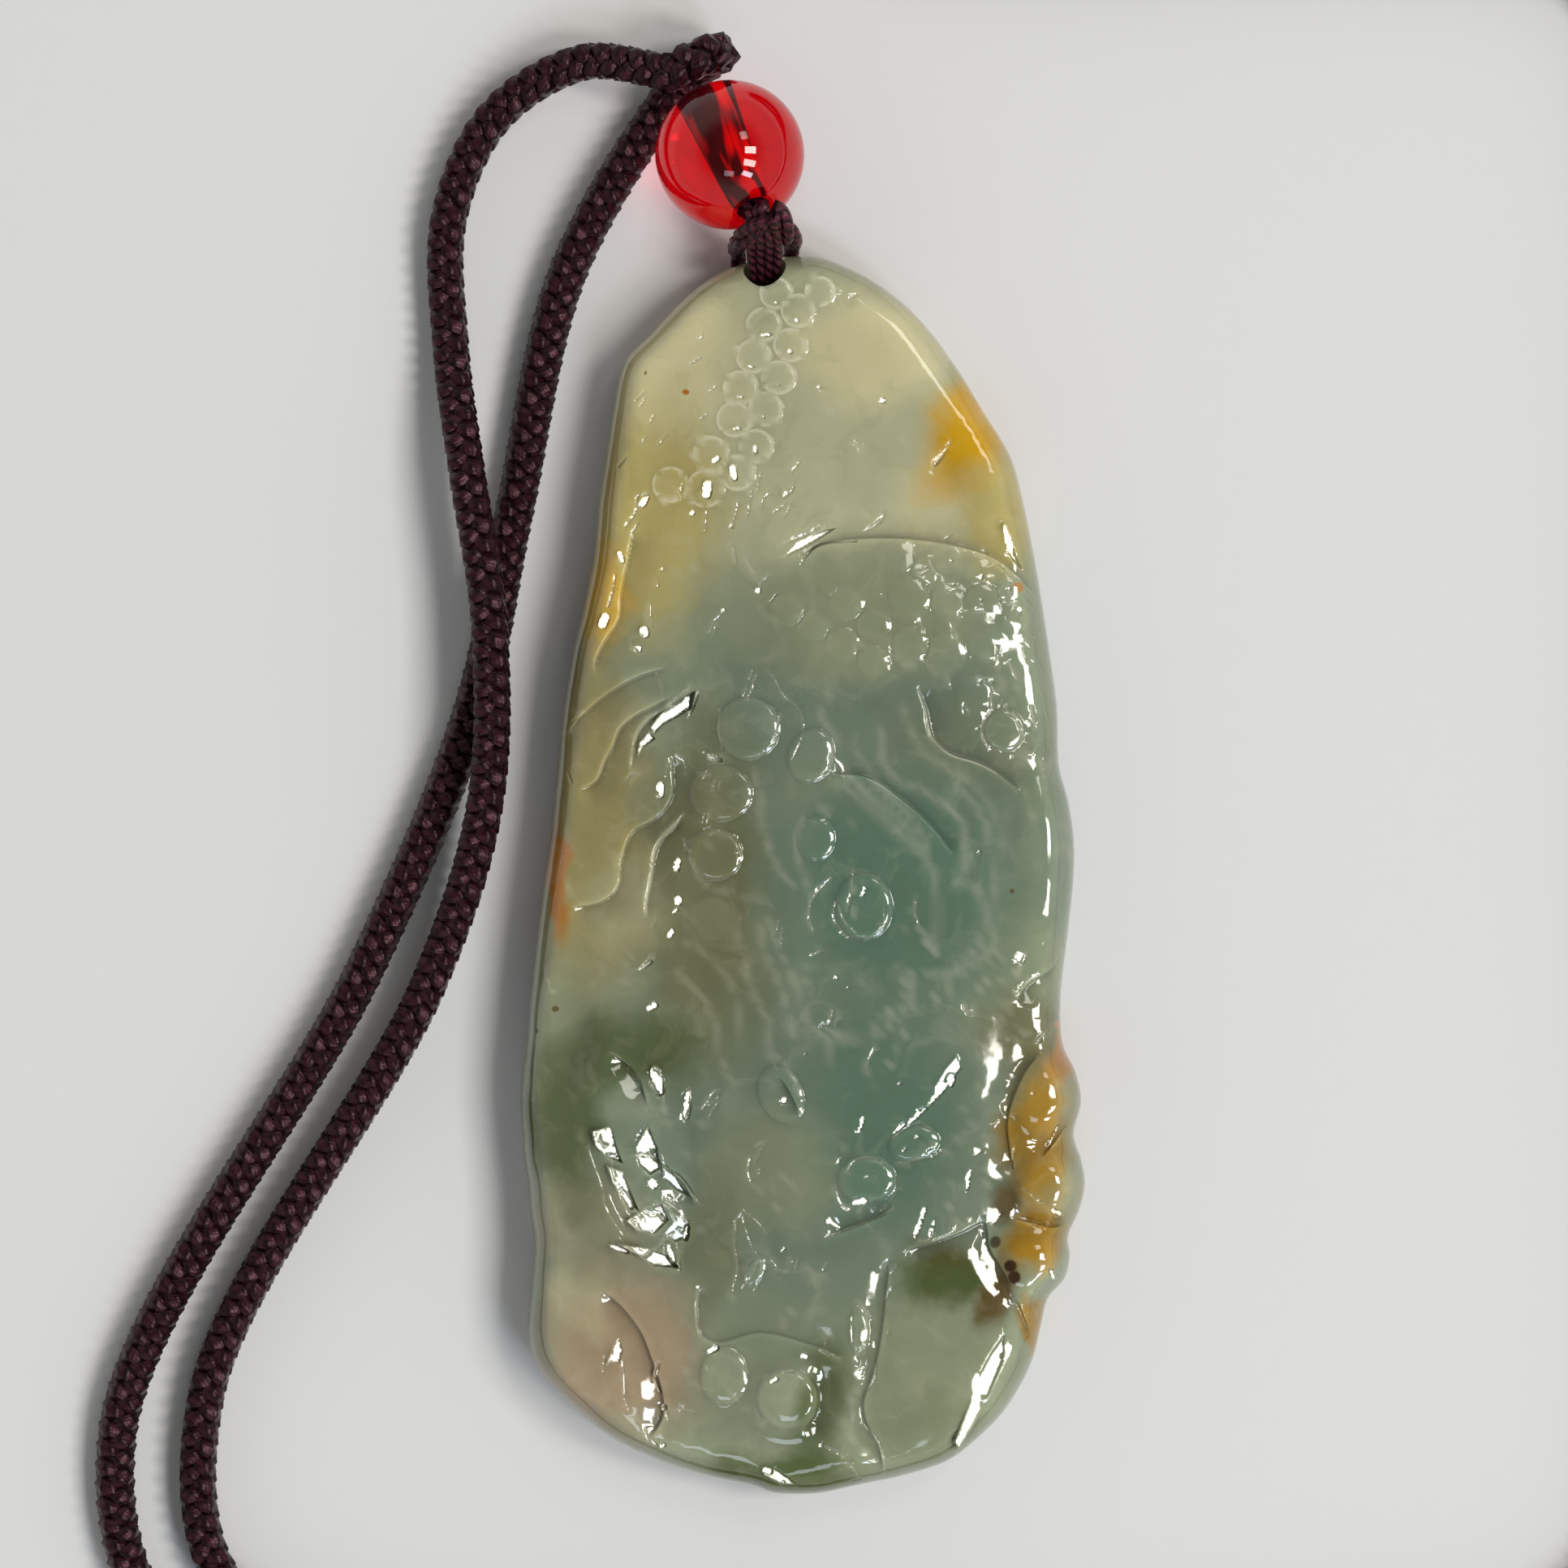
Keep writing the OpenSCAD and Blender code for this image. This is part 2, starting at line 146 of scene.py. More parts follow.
# Route of the whole loop's middle line: the neck cord, then the fold over the bead
CORD_ROUTE = (
    (-6.7, 43.1, 3.9), (-11.6, 43.8, 2.2), (-16.4, 41, 1.3), (-18.9, 35.5, 1.3), (-18.8, 28.5, 1.4),
    (-17.8, 21.5, 3.4), (-16.6, 13.5, 3.9), (-16.8, 4, 3.9), (-20, -6, 2.4), (-32, -28, 1.3),
    (-31, -38.2, 1.3), (-22, -41.7, 1.3), (35, -41.5, 1.3), (43, -38.9, 1.3), (45.6, -31, 1.3),
    (45.6, 4, 1.3), (45.6, 40, 1.3), (43.3, 47.9, 1.3), (35, 50.4, 1.3), (11, 50.3, 1.3), (5, 51.4, 1.3),
    (2.4, 54.8, 1.3), (5.2, 58.5, 1.3), (11, 58.8, 1.3), (36, 53.3, 1.3), (45.3, 50.3, 1.3),
    (48.5, 41, 1.3), (48.5, 4, 1.3), (48.5, -32, 1.3), (45.3, -41.5, 1.3), (35, -44.4, 1.3),
    (-22, -44.6, 1.3), (-34.3, -40.6, 1.3), (-36.8, -30, 1.3), (-23.4, -5, 1.3), (-17.6, 9, 1.3),
    (-15.4, 19.5, 1.3), (-12.5, 32.5, 1.3), (-7.4, 41.4, 1.3),
)
FOLD_ROUTE = (
    (-6.1, 42.9, 1.3), (-5.1, 43.8, 1.4), (-4.4, 44.1, 2.3), (-4.4, 44.1, 3.5), (-5, 43.9, 4.45),
    (-5.9, 43.5, 4.4),
)
ROUTE_STEP = 0.1


class Loop:
    """The cord's closed middle line, with its length and side vectors at close steps."""

    def __init__(self):
        route = np.array(CORD_ROUTE + FOLD_ROUTE)
        points, ends = [], []
        for i in range(len(route)):
            points.append(self.stretch(route, i))
            ends.append(sum(len(p) for p in points))
        self.points = np.vstack(points + [route[:1]])
        self.along = run_lengths(self.points)
        self.length = self.along[-1]
        # The fold begins at the cord's last point
        self.cord_length = self.along[ends[len(CORD_ROUTE) - 2]]
        self.ways = np.gradient(self.points, self.along, axis=0)
        self.ways[0] = self.ways[-1] = self.ways[0] + self.ways[-1]
        self.ways = unit(self.ways)
        self.sides = self.carried_sides()

    @staticmethod
    def stretch(route, i):
        """Close points from one point of the route to the next, on a curve through all of them."""
        p = [route[(i + j) % len(route)] for j in (-1, 0, 1, 2)]
        g = [math.sqrt(np.linalg.norm(p[j + 1] - p[j])) for j in range(3)]
        m1 = (p[1] - p[0]) / g[0] - (p[2] - p[0]) / (g[0] + g[1]) + (p[2] - p[1]) / g[1]
        m2 = (p[2] - p[1]) / g[1] - (p[3] - p[1]) / (g[1] + g[2]) + (p[3] - p[2]) / g[2]
        a, b, gap = m1 * g[1], m2 * g[1], p[2] - p[1]
        count = max(4, round(float(np.linalg.norm(gap)) / ROUTE_STEP))
        t = (np.arange(count) / count)[:, None]
        return p[1] + t * (a + t * ((3 * gap - 2 * a - b) + t * (a + b - 2 * gap)))

    def carried_sides(self):
        """Side vectors carried along with no twist, then turned a little so that the loop closes."""
        side = np.array([0.0, 0.0, 1.0])
        sides = []
        for way in self.ways:
            side = side - side.dot(way) * way
            side /= np.linalg.norm(side)
            sides.append(side)
        sides = np.array(sides)
        across = np.cross(self.ways, sides)
        gap = math.atan2(sides[-1].dot(across[0]), sides[-1].dot(sides[0]))
        # A half turn leaves the braid as it is, so only the rest is made up
        gap -= math.pi * round(gap / math.pi)
        angle = (-gap * self.along / self.length)[:, None]
        return np.cos(angle) * sides + np.sin(angle) * across

    def at(self, s):
        """Middle points, ways and side vectors at lengths s along the loop."""
        points, ways, sides = (np.stack([np.interp(s, self.along, table[:, k]) for k in range(3)], axis=1)
                               for table in (self.points, self.ways, self.sides))
        return points, unit(ways), unit(sides)


def tube(path, across, over, sides):
    """Points, faces and lengths at the rings of a closed tube. Across and over are its half width
    and half thickness vectors at each point of the path."""
    angles = 2 * math.pi * (np.arange(sides) + 0.5) / sides
    ring = (path[:, None] + np.cos(angles)[None, :, None] * across[:, None]
            + np.sin(angles)[None, :, None] * over[:, None])
    last = (len(path) - 1) * sides
    faces = [tuple(range(sides - 1, -1, -1))]
    for near in range(0, last, sides):
        far = near + sides
        faces += [(near + k, near + (k + 1) % sides, far + (k + 1) % sides, far + k) for k in range(sides)]
    faces.append(tuple(range(last, last + sides)))
    return ring.reshape(-1, 3), faces, run_lengths(path)


def strand_piece(name, tubes, sides, material, slot, replaced):
    """One piece of several tubes. Its UV is the length along each tube in millimetres, and a turn
    round it across."""
    points, faces = [], []
    for made, shell, _ in tubes:
        first = sum(len(p) for p in points)
        points.append(made)
        faces += [tuple(first + k for k in face) for face in shell]
    piece = mesh_piece(name, np.vstack(points), faces, material, slot, replaced)
    mesh = piece.data
    u = np.concatenate([np.repeat(lengths, sides) for *_, lengths in tubes])
    v = np.tile(np.arange(sides) / sides, len(u) // sides)
    corners = np.empty(len(mesh.loops), int)
    mesh.loops.foreach_get("vertex_index", corners)
    starts = np.empty(len(mesh.polygons), int)
    totals = np.empty(len(mesh.polygons), int)
    mesh.polygons.foreach_get("loop_start", starts)
    mesh.polygons.foreach_get("loop_total", totals)
    across = v[corners]
    highest = np.repeat(np.maximum.reduceat(across, starts), totals)
    # A face over the seam takes its far corners one turn on
    across = np.where(highest - across > 0.5, across + 1, across)
    layer = mesh.uv_layers.new(name="strand")
    layer.data.foreach_set("uv", np.stack([u[corners], across], axis=1).ravel())
    return piece


# Shape of a plait: its half thickness in radii of the cord, and its half width in lays
PLAIT_THICK = 0.30
PLAIT_WIDE = 0.26


def braid(name, loop, start, end, cord, material, replaced):
    """Four plaits braided round each other between two places along the loop."""
    lay = loop.length / round(loop.length / (cord.lay / MM))
    radius = cord.diameter / MM / 2
    thick = PLAIT_THICK * radius
    middle = radius - 2 * thick
    count = max(8, round((end - start) / lay * cord.rings_per_lay))
    s = np.linspace(start, end, count + 1)
    centre, way, side = loop.at(s)
    across = np.cross(way, side)
    tubes = []
    for hand in (1, -1):
        for half in (0, math.pi):
            turn = hand * 2 * math.pi * s / lay + half
            # A plait is outside on two opposite quarters, and under the other pair between them
            out = middle + thick * hand * np.cos(2 * turn)
            angle = turn + math.pi / 4
            outward = np.cos(angle)[:, None] * side + np.sin(angle)[:, None] * across
            path = centre + out[:, None] * outward
            along = unit(np.gradient(path, s, axis=0))
            beside = unit(np.cross(along, outward))
            up = np.cross(beside, along)
            tubes.append(tube(path, beside * PLAIT_WIDE * lay, up * thick, cord.plait_sides))
    return strand_piece(name, tubes, cord.plait_sides, material, "cord", replaced)


def nylon_material(name, colour, painted_glint, roughness, filament, ply):
    """Twisted nylon thread, dyed dark: its high-lying filaments and the crowns of its plies are painted in a
    glint colour as a painted highlight, and its furrows darker as painted shade. The filaments' width, and
    the length of thread in which its plies go once round, are in mm."""
    material, tree, shader = new_material(name)
    uv = add_node(tree, "ShaderNodeUVMap", uv_map="strand").outputs["UV"]
    # Filaments lie nearly along the plait, so the pattern is long along it and fine across it
    stretched = add_node(tree, "ShaderNodeMapping", {
        "Vector": uv, "Scale": (0.9, 0.9 / filament, 1), "Rotation": (0, 0, 0.5)}).outputs["Vector"]
    fibre = add_node(tree, "ShaderNodeTexNoise", {"Vector": stretched, "Scale": 1, "Detail": 3},
                     noise_dimensions="2D").outputs["Fac"]
    # Two plies are laid round each other, with a furrow between them that is painted darker as painted shade
    place = add_node(tree, "ShaderNodeSeparateXYZ", {0: uv}).outputs
    along = add_node(tree, "ShaderNodeMath", {0: place["X"], 1: 1 / ply}, operation="MULTIPLY").outputs[0]
    turn = add_node(tree, "ShaderNodeMath", {0: place["Y"], 1: 2, 2: along},
                    operation="MULTIPLY_ADD").outputs[0]
    wave = add_node(tree, "ShaderNodeMath", {0: turn, 1: 2 * math.pi}, operation="MULTIPLY").outputs[0]
    wave = add_node(tree, "ShaderNodeMath", {0: wave}, operation="SINE").outputs[0]
    furrow = add_node(tree, "ShaderNodeMapRange", {"Value": wave, 1: -1, 2: 0.6, 4: 0.6}).outputs["Result"]
    height = add_node(tree, "ShaderNodeMath", {0: fibre, 1: 1.2, 2: furrow},
                      operation="MULTIPLY_ADD").outputs[0]
    shade = add_node(tree, "ShaderNodeMapRange", {"Value": height, 1: 0.75, 2: 1.4}).outputs["Result"]
    # Painted highlight and painted shade: where filaments and plies stand high they take the glint colour,
    # and where they lie low the dark one
    mixed = add_node(tree, "ShaderNodeMix", {"Factor": shade, 6: paint(colour), 7: paint(painted_glint)},
                     data_type="RGBA").outputs[2]
    bump = add_node(tree, "ShaderNodeBump", {"Height": height, "Strength": 0.9,
                                             "Distance": 0.08 * MM}).outputs["Normal"]
    # The IOR is nylon's
    fill(tree, shader, {
        "Base Color": mixed, "Normal": bump, "Roughness": roughness, "IOR": 1.53,
        "Specular Tint": paint("#e0a8b4"), "Sheen Weight": 0.05, "Sheen Roughness": 0.4,
        "Sheen Tint": paint("#a06a78")})
    return material


# Hanging thread

# Legs of the thread, from the bead to the groove in the back.
# Columns: x, y, z, half width, half thickness.
LEG_ROWS = (
    (-1.95, 34.55, 6.3, 0.8, 0.55), (-1.85, 33.85, 5.65, 0.95, 0.5), (-1.85, 33.15, 4.55, 0.95, 0.48),
    (-1.85, 32.1, 3.52, 0.85, 0.5), (-1.85, 29.75, 1.4, 0.85, 0.45), (-1.85, 29.2, 0.95, 0.85, 0.42),
    (-1.85, 29.3, 0.58, 0.85, 0.4), (-1.85, 30.1, 0.52, 0.9, 0.4),
)
# Bight of the thread: up both sides behind the jade and over the legs, same columns
BIGHT_ROWS = (
    (-2.1, 29.9, 0.52, 0.45, 0.4), (-2.6, 31, 0.54, 0.45, 0.42), (-3.1, 32.4, 0.56, 0.45, 0.45),
    (-3.35, 33.6, 0.95, 0.48, 0.45), (-3.35, 33.8, 2.4, 0.52, 0.48), (-3.2, 33.92, 4, 0.6, 0.52),
    (-2.85, 34.12, 5.5, 0.7, 0.6), (-1.55, 35.2, 6.95, 0.85, 0.75), (-0.7, 34.3, 5.6, 0.7, 0.65),
    (-0.4, 34.12, 4, 0.6, 0.58), (-0.35, 34.05, 2.4, 0.52, 0.5), (-0.4, 33.85, 0.95, 0.48, 0.45),
    (-0.7, 32.4, 0.56, 0.45, 0.45), (-1.15, 31, 0.54, 0.45, 0.42), (-1.6, 29.9, 0.52, 0.45, 0.4),
)


# Half width of each thread of a flat run, in its share of the run's half width
FLAT_THREAD = 1.1
# A run thicker than this share of its width has its threads two on two, with their middles and radii
# in half widths of the run
ROUND_RUN = 0.72
PAIR_PLACE = 0.42
PAIR_RADIUS = 0.40
# Radius of a twisted thread in half thicknesses of its run, and how far off the middle it goes, in
# half widths and half thicknesses
TWIST_RADIUS = 0.52
TWIST_PLACE = (0.5, 0.48)


def thread_run(rows, count, turns, sides, parts):
    """Tubes of count threads laid together along rows of middle points and half sizes.
    With turns of 0 they lie side by side; otherwise they are twisted round each other."""
    line = curve_through(rows, parts)
    path, wide, thick = line[:, :3], line[:, 3], line[:, 4]
    way = unit(np.gradient(path, axis=0))
    flat = unit(np.cross(way, np.cross([[1.0, 0.0, 0.0]], way)))
    up = np.cross(way, flat)
    phase = np.linspace(0, 2 * math.pi * turns, len(path))
    tubes = []
    for k in range(count):
        if turns:
            angle = phase + 2 * math.pi * k / count
            radius = TWIST_RADIUS * thick
            middle = (path + (TWIST_PLACE[0] * wide * np.cos(angle))[:, None] * flat
                      + (TWIST_PLACE[1] * thick * np.sin(angle))[:, None] * up)
        else:
            place = (2 * k + 1) / count - 1
            stacked = ease((thick / wide - ROUND_RUN) / 0.2)
            across = (1 - stacked) * place + stacked * math.copysign(PAIR_PLACE, place)
            lift = stacked * PAIR_PLACE * (-1) ** k
            radius = ((1 - stacked) * np.minimum(FLAT_THREAD * wide / count, thick)
                      + stacked * PAIR_RADIUS * wide)
            middle = path + (across * wide)[:, None] * flat + (lift * thick)[:, None] * up
        tubes.append(tube(middle, flat * radius[:, None], up * radius[:, None], sides))
    return tubes


# Jade plaque

# Outline, a row for each height. Columns: height y, left edge x, right edge x.
EDGE_ROWS = (
    (-33.3, -0.6, 0.3), (-33.2, -1.5, 1.4), (-32.8, -2.6, 3.2), (-32.3, -5, 5.6), (-31.5, -7.5, 8),
    (-30.3, -10, 9.6), (-29, -11.7, 10.9), (-27.5, -13.3, 11.9), (-26, -14.3, 12.6), (-24.4, -14.6, 13),
    (-22.8, -14.5, 13.4), (-21.7, -14.4, 14.3), (-20.5, -14.3, 14.6), (-19.4, -14.3, 14.5),
    (-18, -14.5, 15.1), (-16.6, -14.6, 15.4), (-15.3, -14.8, 15.2), (-13.9, -14.9, 14.8),
    (-12.2, -15, 15.2), (-10.6, -14.9, 14.9), (-9, -14.7, 14.2), (-6.5, -14.5, 14.1), (-3, -14.1, 14.5),
    (0, -13.7, 14.8), (2, -13.4, 14.8), (4, -13.2, 14.5), (6, -13, 14), (9, -12.7, 13.9), (12, -12.2, 13.5),
    (14, -11.7, 13.2), (17, -11.1, 12.7), (20, -10.8, 12.1), (22.5, -10.4, 11.4), (25, -10, 9.9),
    (27, -9.6, 8.7), (28, -9.1, 8), (29.1, -8, 7.2), (30.6, -6.6, 5.8), (31.9, -5.1, 4.1),
    (32.6, -3.9, 2.8), (33.1, -2.2, 1.6), (33.3, -0.8, 0.8),
)
HALF_HEIGHT = 33.3

# Broad forms of the carving, lower than in the plain solid where finer relief lies on them.
# Columns: x, y, half width, half height, turn, rise.
FORMS = (
    (4.5, -14, 7.5, 12, -12, 0.3), (8.2, -24.8, 5, 6.4, -14, 0.22), (-10.4, -25.4, 5, 6, 8, 0.2),
    (-0.6, -27.8, 2.6, 2.4, 0, 0.35), (4.4, 13.3, 6, 4.2, 0, 0.22), (10.4, 10.6, 3.6, 5.4, 16, 0.15),
    (-8.3, 18, 3.2, 7, 8, 0.15), (-8.8, 4.2, 3.2, 6.4, -20, 0.2), (-9.5, -14.6, 4, 6, 14, 0.45),
    (8, 0.5, 6, 8, 20, 0.1), (13.2, -11.8, 2.2, 2.6, 0, 0.5), (13.4, -16.6, 2.2, 2.2, 0, 0.55),
    (12.6, -20.9, 2.2, 2.2, 0, 0.5), (13.8, 2, 2.4, 4.6, 0, 0.3), (5.8, 21.5, 5, 5.5, 20, -0.15),
    (-3.6, 14.5, 3.2, 7, 6, -0.12), (-3.4, -3, 3.4, 6.5, 0, -0.25), (-12.6, -8.6, 2.6, 3.6, 0, -0.3),
)

# Ground that falls away on the left of a line as it is drawn.
# Columns: drop, how far the fall reaches, then x and y of each point of the line.
TERRACES = (
    (0.25, 1.6, 0.2, 16.6, 1.1, 17.5, 3.3, 17.9, 6.3, 17.85, 9.3, 17.3, 11.1, 16.4, 12.6, 14.7, 13.4, 12.2),
    (0.25, 1.6, -8.9, 18.6, -9.2, 17, -9.6, 15, -9.7, 13.8, -10.3, 12.8, -10.9, 11.7, -11, 10.7),
    (0.22, 1.4, -7, 11.2, -8.6, 10.7, -9.9, 10, -11, 9.2, -12.2, 8, -12.8, 6.8),
    (0.29, 1.6, -6.8, 9.7, -7.8, 9.1, -8.8, 8.6, -9.6, 7.9, -10, 7, -10.5, 6, -10.9, 5.1, -11.9, 4.6),
    (0.25, 1.2, -5.8, 10.1, -6.5, 9.3, -7.2, 8.85, -8, 8.4, -8.6, 7.7, -8.85, 7, -8.95, 6.2, -9.1, 5.6),
    (0.29, 1.6, -6.9, 6.6, -6.8, 5.6, -6.8, 4.4, -7.2, 3.6, -7.9, 3, -8.8, 2.5, -9.3, 1.7, -9.6, 0.5, -9.65,
     -0.3, -10.1, -1, -11, -1.45, -12.3, -1.6),
    (0.25, 1.4, -6.2, 3.4, -6.7, 2.6, -7.3, 2, -7.7, 1.2, -7.9, 0, -8.1, -1, -8.3, -2.3),
    (0.22, 1.4, 1.5, 5.4, 3.6, 5.2, 5.2, 4.2, 7, 2.6, 8.2, 1),
    (0.22, 1.4, 6.2, 10.1, 6.7, 8.9, 7.05, 7.4, 8, 6.5, 9.5, 6, 10.6, 5.4, 11.8, 4.4),
    (0.29, 1.4, 1.4, -19.2, 3.2, -18.55, 4.4, -18.05, 5.2, -17.5),
    (0.18, 1.4, 4.6, -32, 4.3, -30.4, 3.7, -29.2, 3.5, -28, 4.1, -26.2, 4.5, -24, 4.7, -22, 4.9, -20.3),
    (0.22, 1.2, 11.5, -22.2, 10.9, -21, 10.2, -19.8, 9.9, -18.4, 8.6, -18.9, 7.2, -19.4, 5.4, -19.9),
    (0.22, 1.2, 12.6, -25.2, 12.1, -23.6, 11.5, -22.2),
    (0.25, 1.2, 0.1, -13, -0.1, -12.2, -0.6, -11.2, -1.2, -10.3),
    (0.29, 1.4, -5.4, -17.6, -6.2, -16.2, -7.2, -15.4, -7.7, -14, -8, -12.9),
    (0.29, 1.4, -8, -12.4, -8.4, -11, -9.1, -10, -10.1, -9.3),
    (0.36, 1.6, 0.3, -26.4, 0.9, -27.4, 0.8, -28.6, 0, -29.6),
    (0.12, 1.6, -5.4, -21.4, -5.5, -23, -5.3, -24.4, -4.2, -24.9, -2, -24.4, 0.8, -25.1, 2.4, -25.8),
    (0.32, 1.6, -8, -30.2, -7.2, -28.8, -7.3, -27.2, -7.9, -25.4, -8.4, -24.2, -9.4, -22.9, -10.6, -21.9),
    (0.29, 1.2, 11.2, -18.3, 12.2, -18.5, 13.4, -18.8, 14.6, -18.7),
    (0.29, 1.2, 12.9, -15.2, 13.5, -14.4, 14.3, -13.5, 15, -12.6),
    (0.25, 1.4, 11.6, -16, 11.3, -14.6, 11.2, -12.8, 12, -10.6, 13, -9.4),
    (0.25, 1.4, 14.6, -2.6, 13.9, -4.1, 13.3, -5, 12.2, -5.7, 11.4, -6.8),
)

# Low domes with a cut ring round the foot. Columns: x, y, half width, half height, turn, rise.
DOMES = (
    (-2.7, 7.85, 1.6, 1.6, 0, 0.16), (-4.15, 4.4, 1.6, 1.4, 0, 0.14), (-4.45, 1.15, 1.4, 1.3, 0, 0.14),
    (0.65, 6.4, 1.15, 1.4, -20, 0.12), (0.9, 2, 0.95, 1.1, 0, 0.1), (3.45, -1.65, 1.45, 1.7, 0, 0.16),
    (-0.95, -11.6, 1.1, 1.5, 25, 0.12), (3.6, -16.1, 1.45, 1.2, 0, 0.16), (6.1, -14.2, 1.3, 0.85, 10, 0.12),
    (10.9, 7.75, 1.05, 1.1, 0, 0.12), (-0.65, -27.8, 1.55, 1.55, 0, 0.16),
    (11.25, -12.3, 0.45, 0.45, 0, 0.05), (3.2, -24.2, 0.5, 1.2, 0, 0.1), (-4, -26.6, 1.2, 1.5, 0, 0.12),
    (-2.4, -21, 0.45, 0.8, -25, 0.08),
)

# Rows of scales on the hump, each a low disc over the next. Columns: x, y, radius, rise.
SCALES = (
    (-0.65, 14.15, 0.96, 0.08), (0.7, 13.25, 0.9, 0.07), (2.5, 14.5, 0.98, 0.08), (2.3, 12.35, 0.95, 0.07),
    (3.95, 13.3, 0.95, 0.08), (3.95, 11.4, 0.92, 0.08), (5.9, 12.3, 1.05, 0.09), (5.85, 14.8, 1.15, 0.08),
    (7.8, 11.8, 1.15, 0.09), (5.2, 16.9, 0.95, 0.07), (7.9, 16.9, 0.9, 0.08), (9.7, 14.6, 1, 0.08),
    (9.3, 9.7, 1, 0.09), (7.9, 14.6, 0.95, 0.08), (6.7, 16.4, 0.8, 0.07), (9.6, 16, 0.7, 0.07),
    (11.2, 15.2, 0.7, 0.06), (11.6, 13.7, 0.8, 0.07), (9.9, 12.3, 0.95, 0.08),
)

# Coins of the string, from the uppermost to the one that lies lowest. Columns: x, y, radius.
COINS = (
    (-0.45, 28.35, 0.95), (-1.1, 26.6, 0.95), (-2.3, 22.9, 0.95), (-4.72, 22.5, 1), (-3.45, 24.35, 0.98),
    (-1.8, 24.9, 0.95), (-0.05, 30.2, 0.95), (-3.3, 21.5, 1), (-5, 20.65, 1.05), (-1.25, 31.15, 0.9),
    (-1.9, 29.45, 0.95), (-2.45, 27.75, 0.95), (-3.15, 26.05, 0.95), (1.12, 31.25, 0.85), (-6.85, 20.85, 1),
)

# Larger flat cuts. Columns: number of its lean, then x and y of each corner.
PLANES = (
    (0, -11.1, -13.5, -9.95, -13.2, -9.7, -14.3, -9.35, -15.3, -10.2, -15, -10.9, -14.4),
    (0, -10.3, -15.3, -9.35, -15.65, -8.95, -16.7, -8.45, -17.9, -9.35, -17.3, -10, -16.3),
    (0, -8.8, -14.4, -8.1, -13.2, -7.5, -14.4, -7.4, -15.6, -7.9, -15.9, -8.5, -15.4),
    (1, -7.4, -14.7, -6.65, -15.8, -5.8, -17.1, -6.6, -16.7, -7.3, -16),
    (0, -8.5, -17.8, -7.3, -17.4, -6.9, -18.3, -7.7, -19.1, -8.7, -18.9, -9.3, -18.3),
    (1, -7.1, -17.7, -5.8, -18.3, -5.8, -19.2, -6.6, -19.5, -7.3, -19, -6.8, -18.4),
    (0, -9.8, -19.5, -8.3, -19.7, -6.9, -20.2, -6.3, -20.9, -7.7, -20.8, -8.7, -20.2),
    (0, -5.5, 9.9, -5.7, 8.9, -6.35, 8.5, -7.25, 8, -7.7, 7.5, -8, 7.9, -7.6, 8.5, -6.6, 9.4),
    (0, -8, 7.8, -7.6, 7.3, -8.3, 6.8, -8.7, 6.1, -8.6, 7.1),
    (0, -1.2, 16.7, 0, 17.3, 1.1, 17.9, 2.1, 18.6, 1.3, 18.45, -0.2, 17.85),
    (0, 10.8, 18.9, 11.1, 18.8, 11.5, 17.9, 11.6, 17.1, 12, 16.2, 11.3, 16.9, 10.85, 17.8),
    (0, 8.4, -9.4, 8.7, -10.2, 7.8, -11.5, 7.2, -12.1, 6.7, -12.5, 7.1, -11.2, 7.7, -10.2),
    (0, 7, -12.3, 6.3, -13, 5.1, -13.8, 5.8, -12.8, 6.6, -12.2),
    (0, -9.5, -24.5, -9.95, -25, -10.4, -26.1, -10, -25.9, -9.55, -26, -9.35, -25.3),
    (0, 11, -24.3, 10.9, -25.8, 10.2, -27.5, 9.4, -29.2, 8.5, -30.7, 8.2, -30.2, 8.9, -28.4, 9.4, -26.9,
     10.2, -25.4),
    (0, -2.1, -31.45, -1.2, -31.6, -0.4, -32.2, 0, -32.6, -1, -32.5, -1.9, -32),
    (0, -1, 20.4, -0.9, 20, -0.3, 20.4, -0.1, 20.9),
)

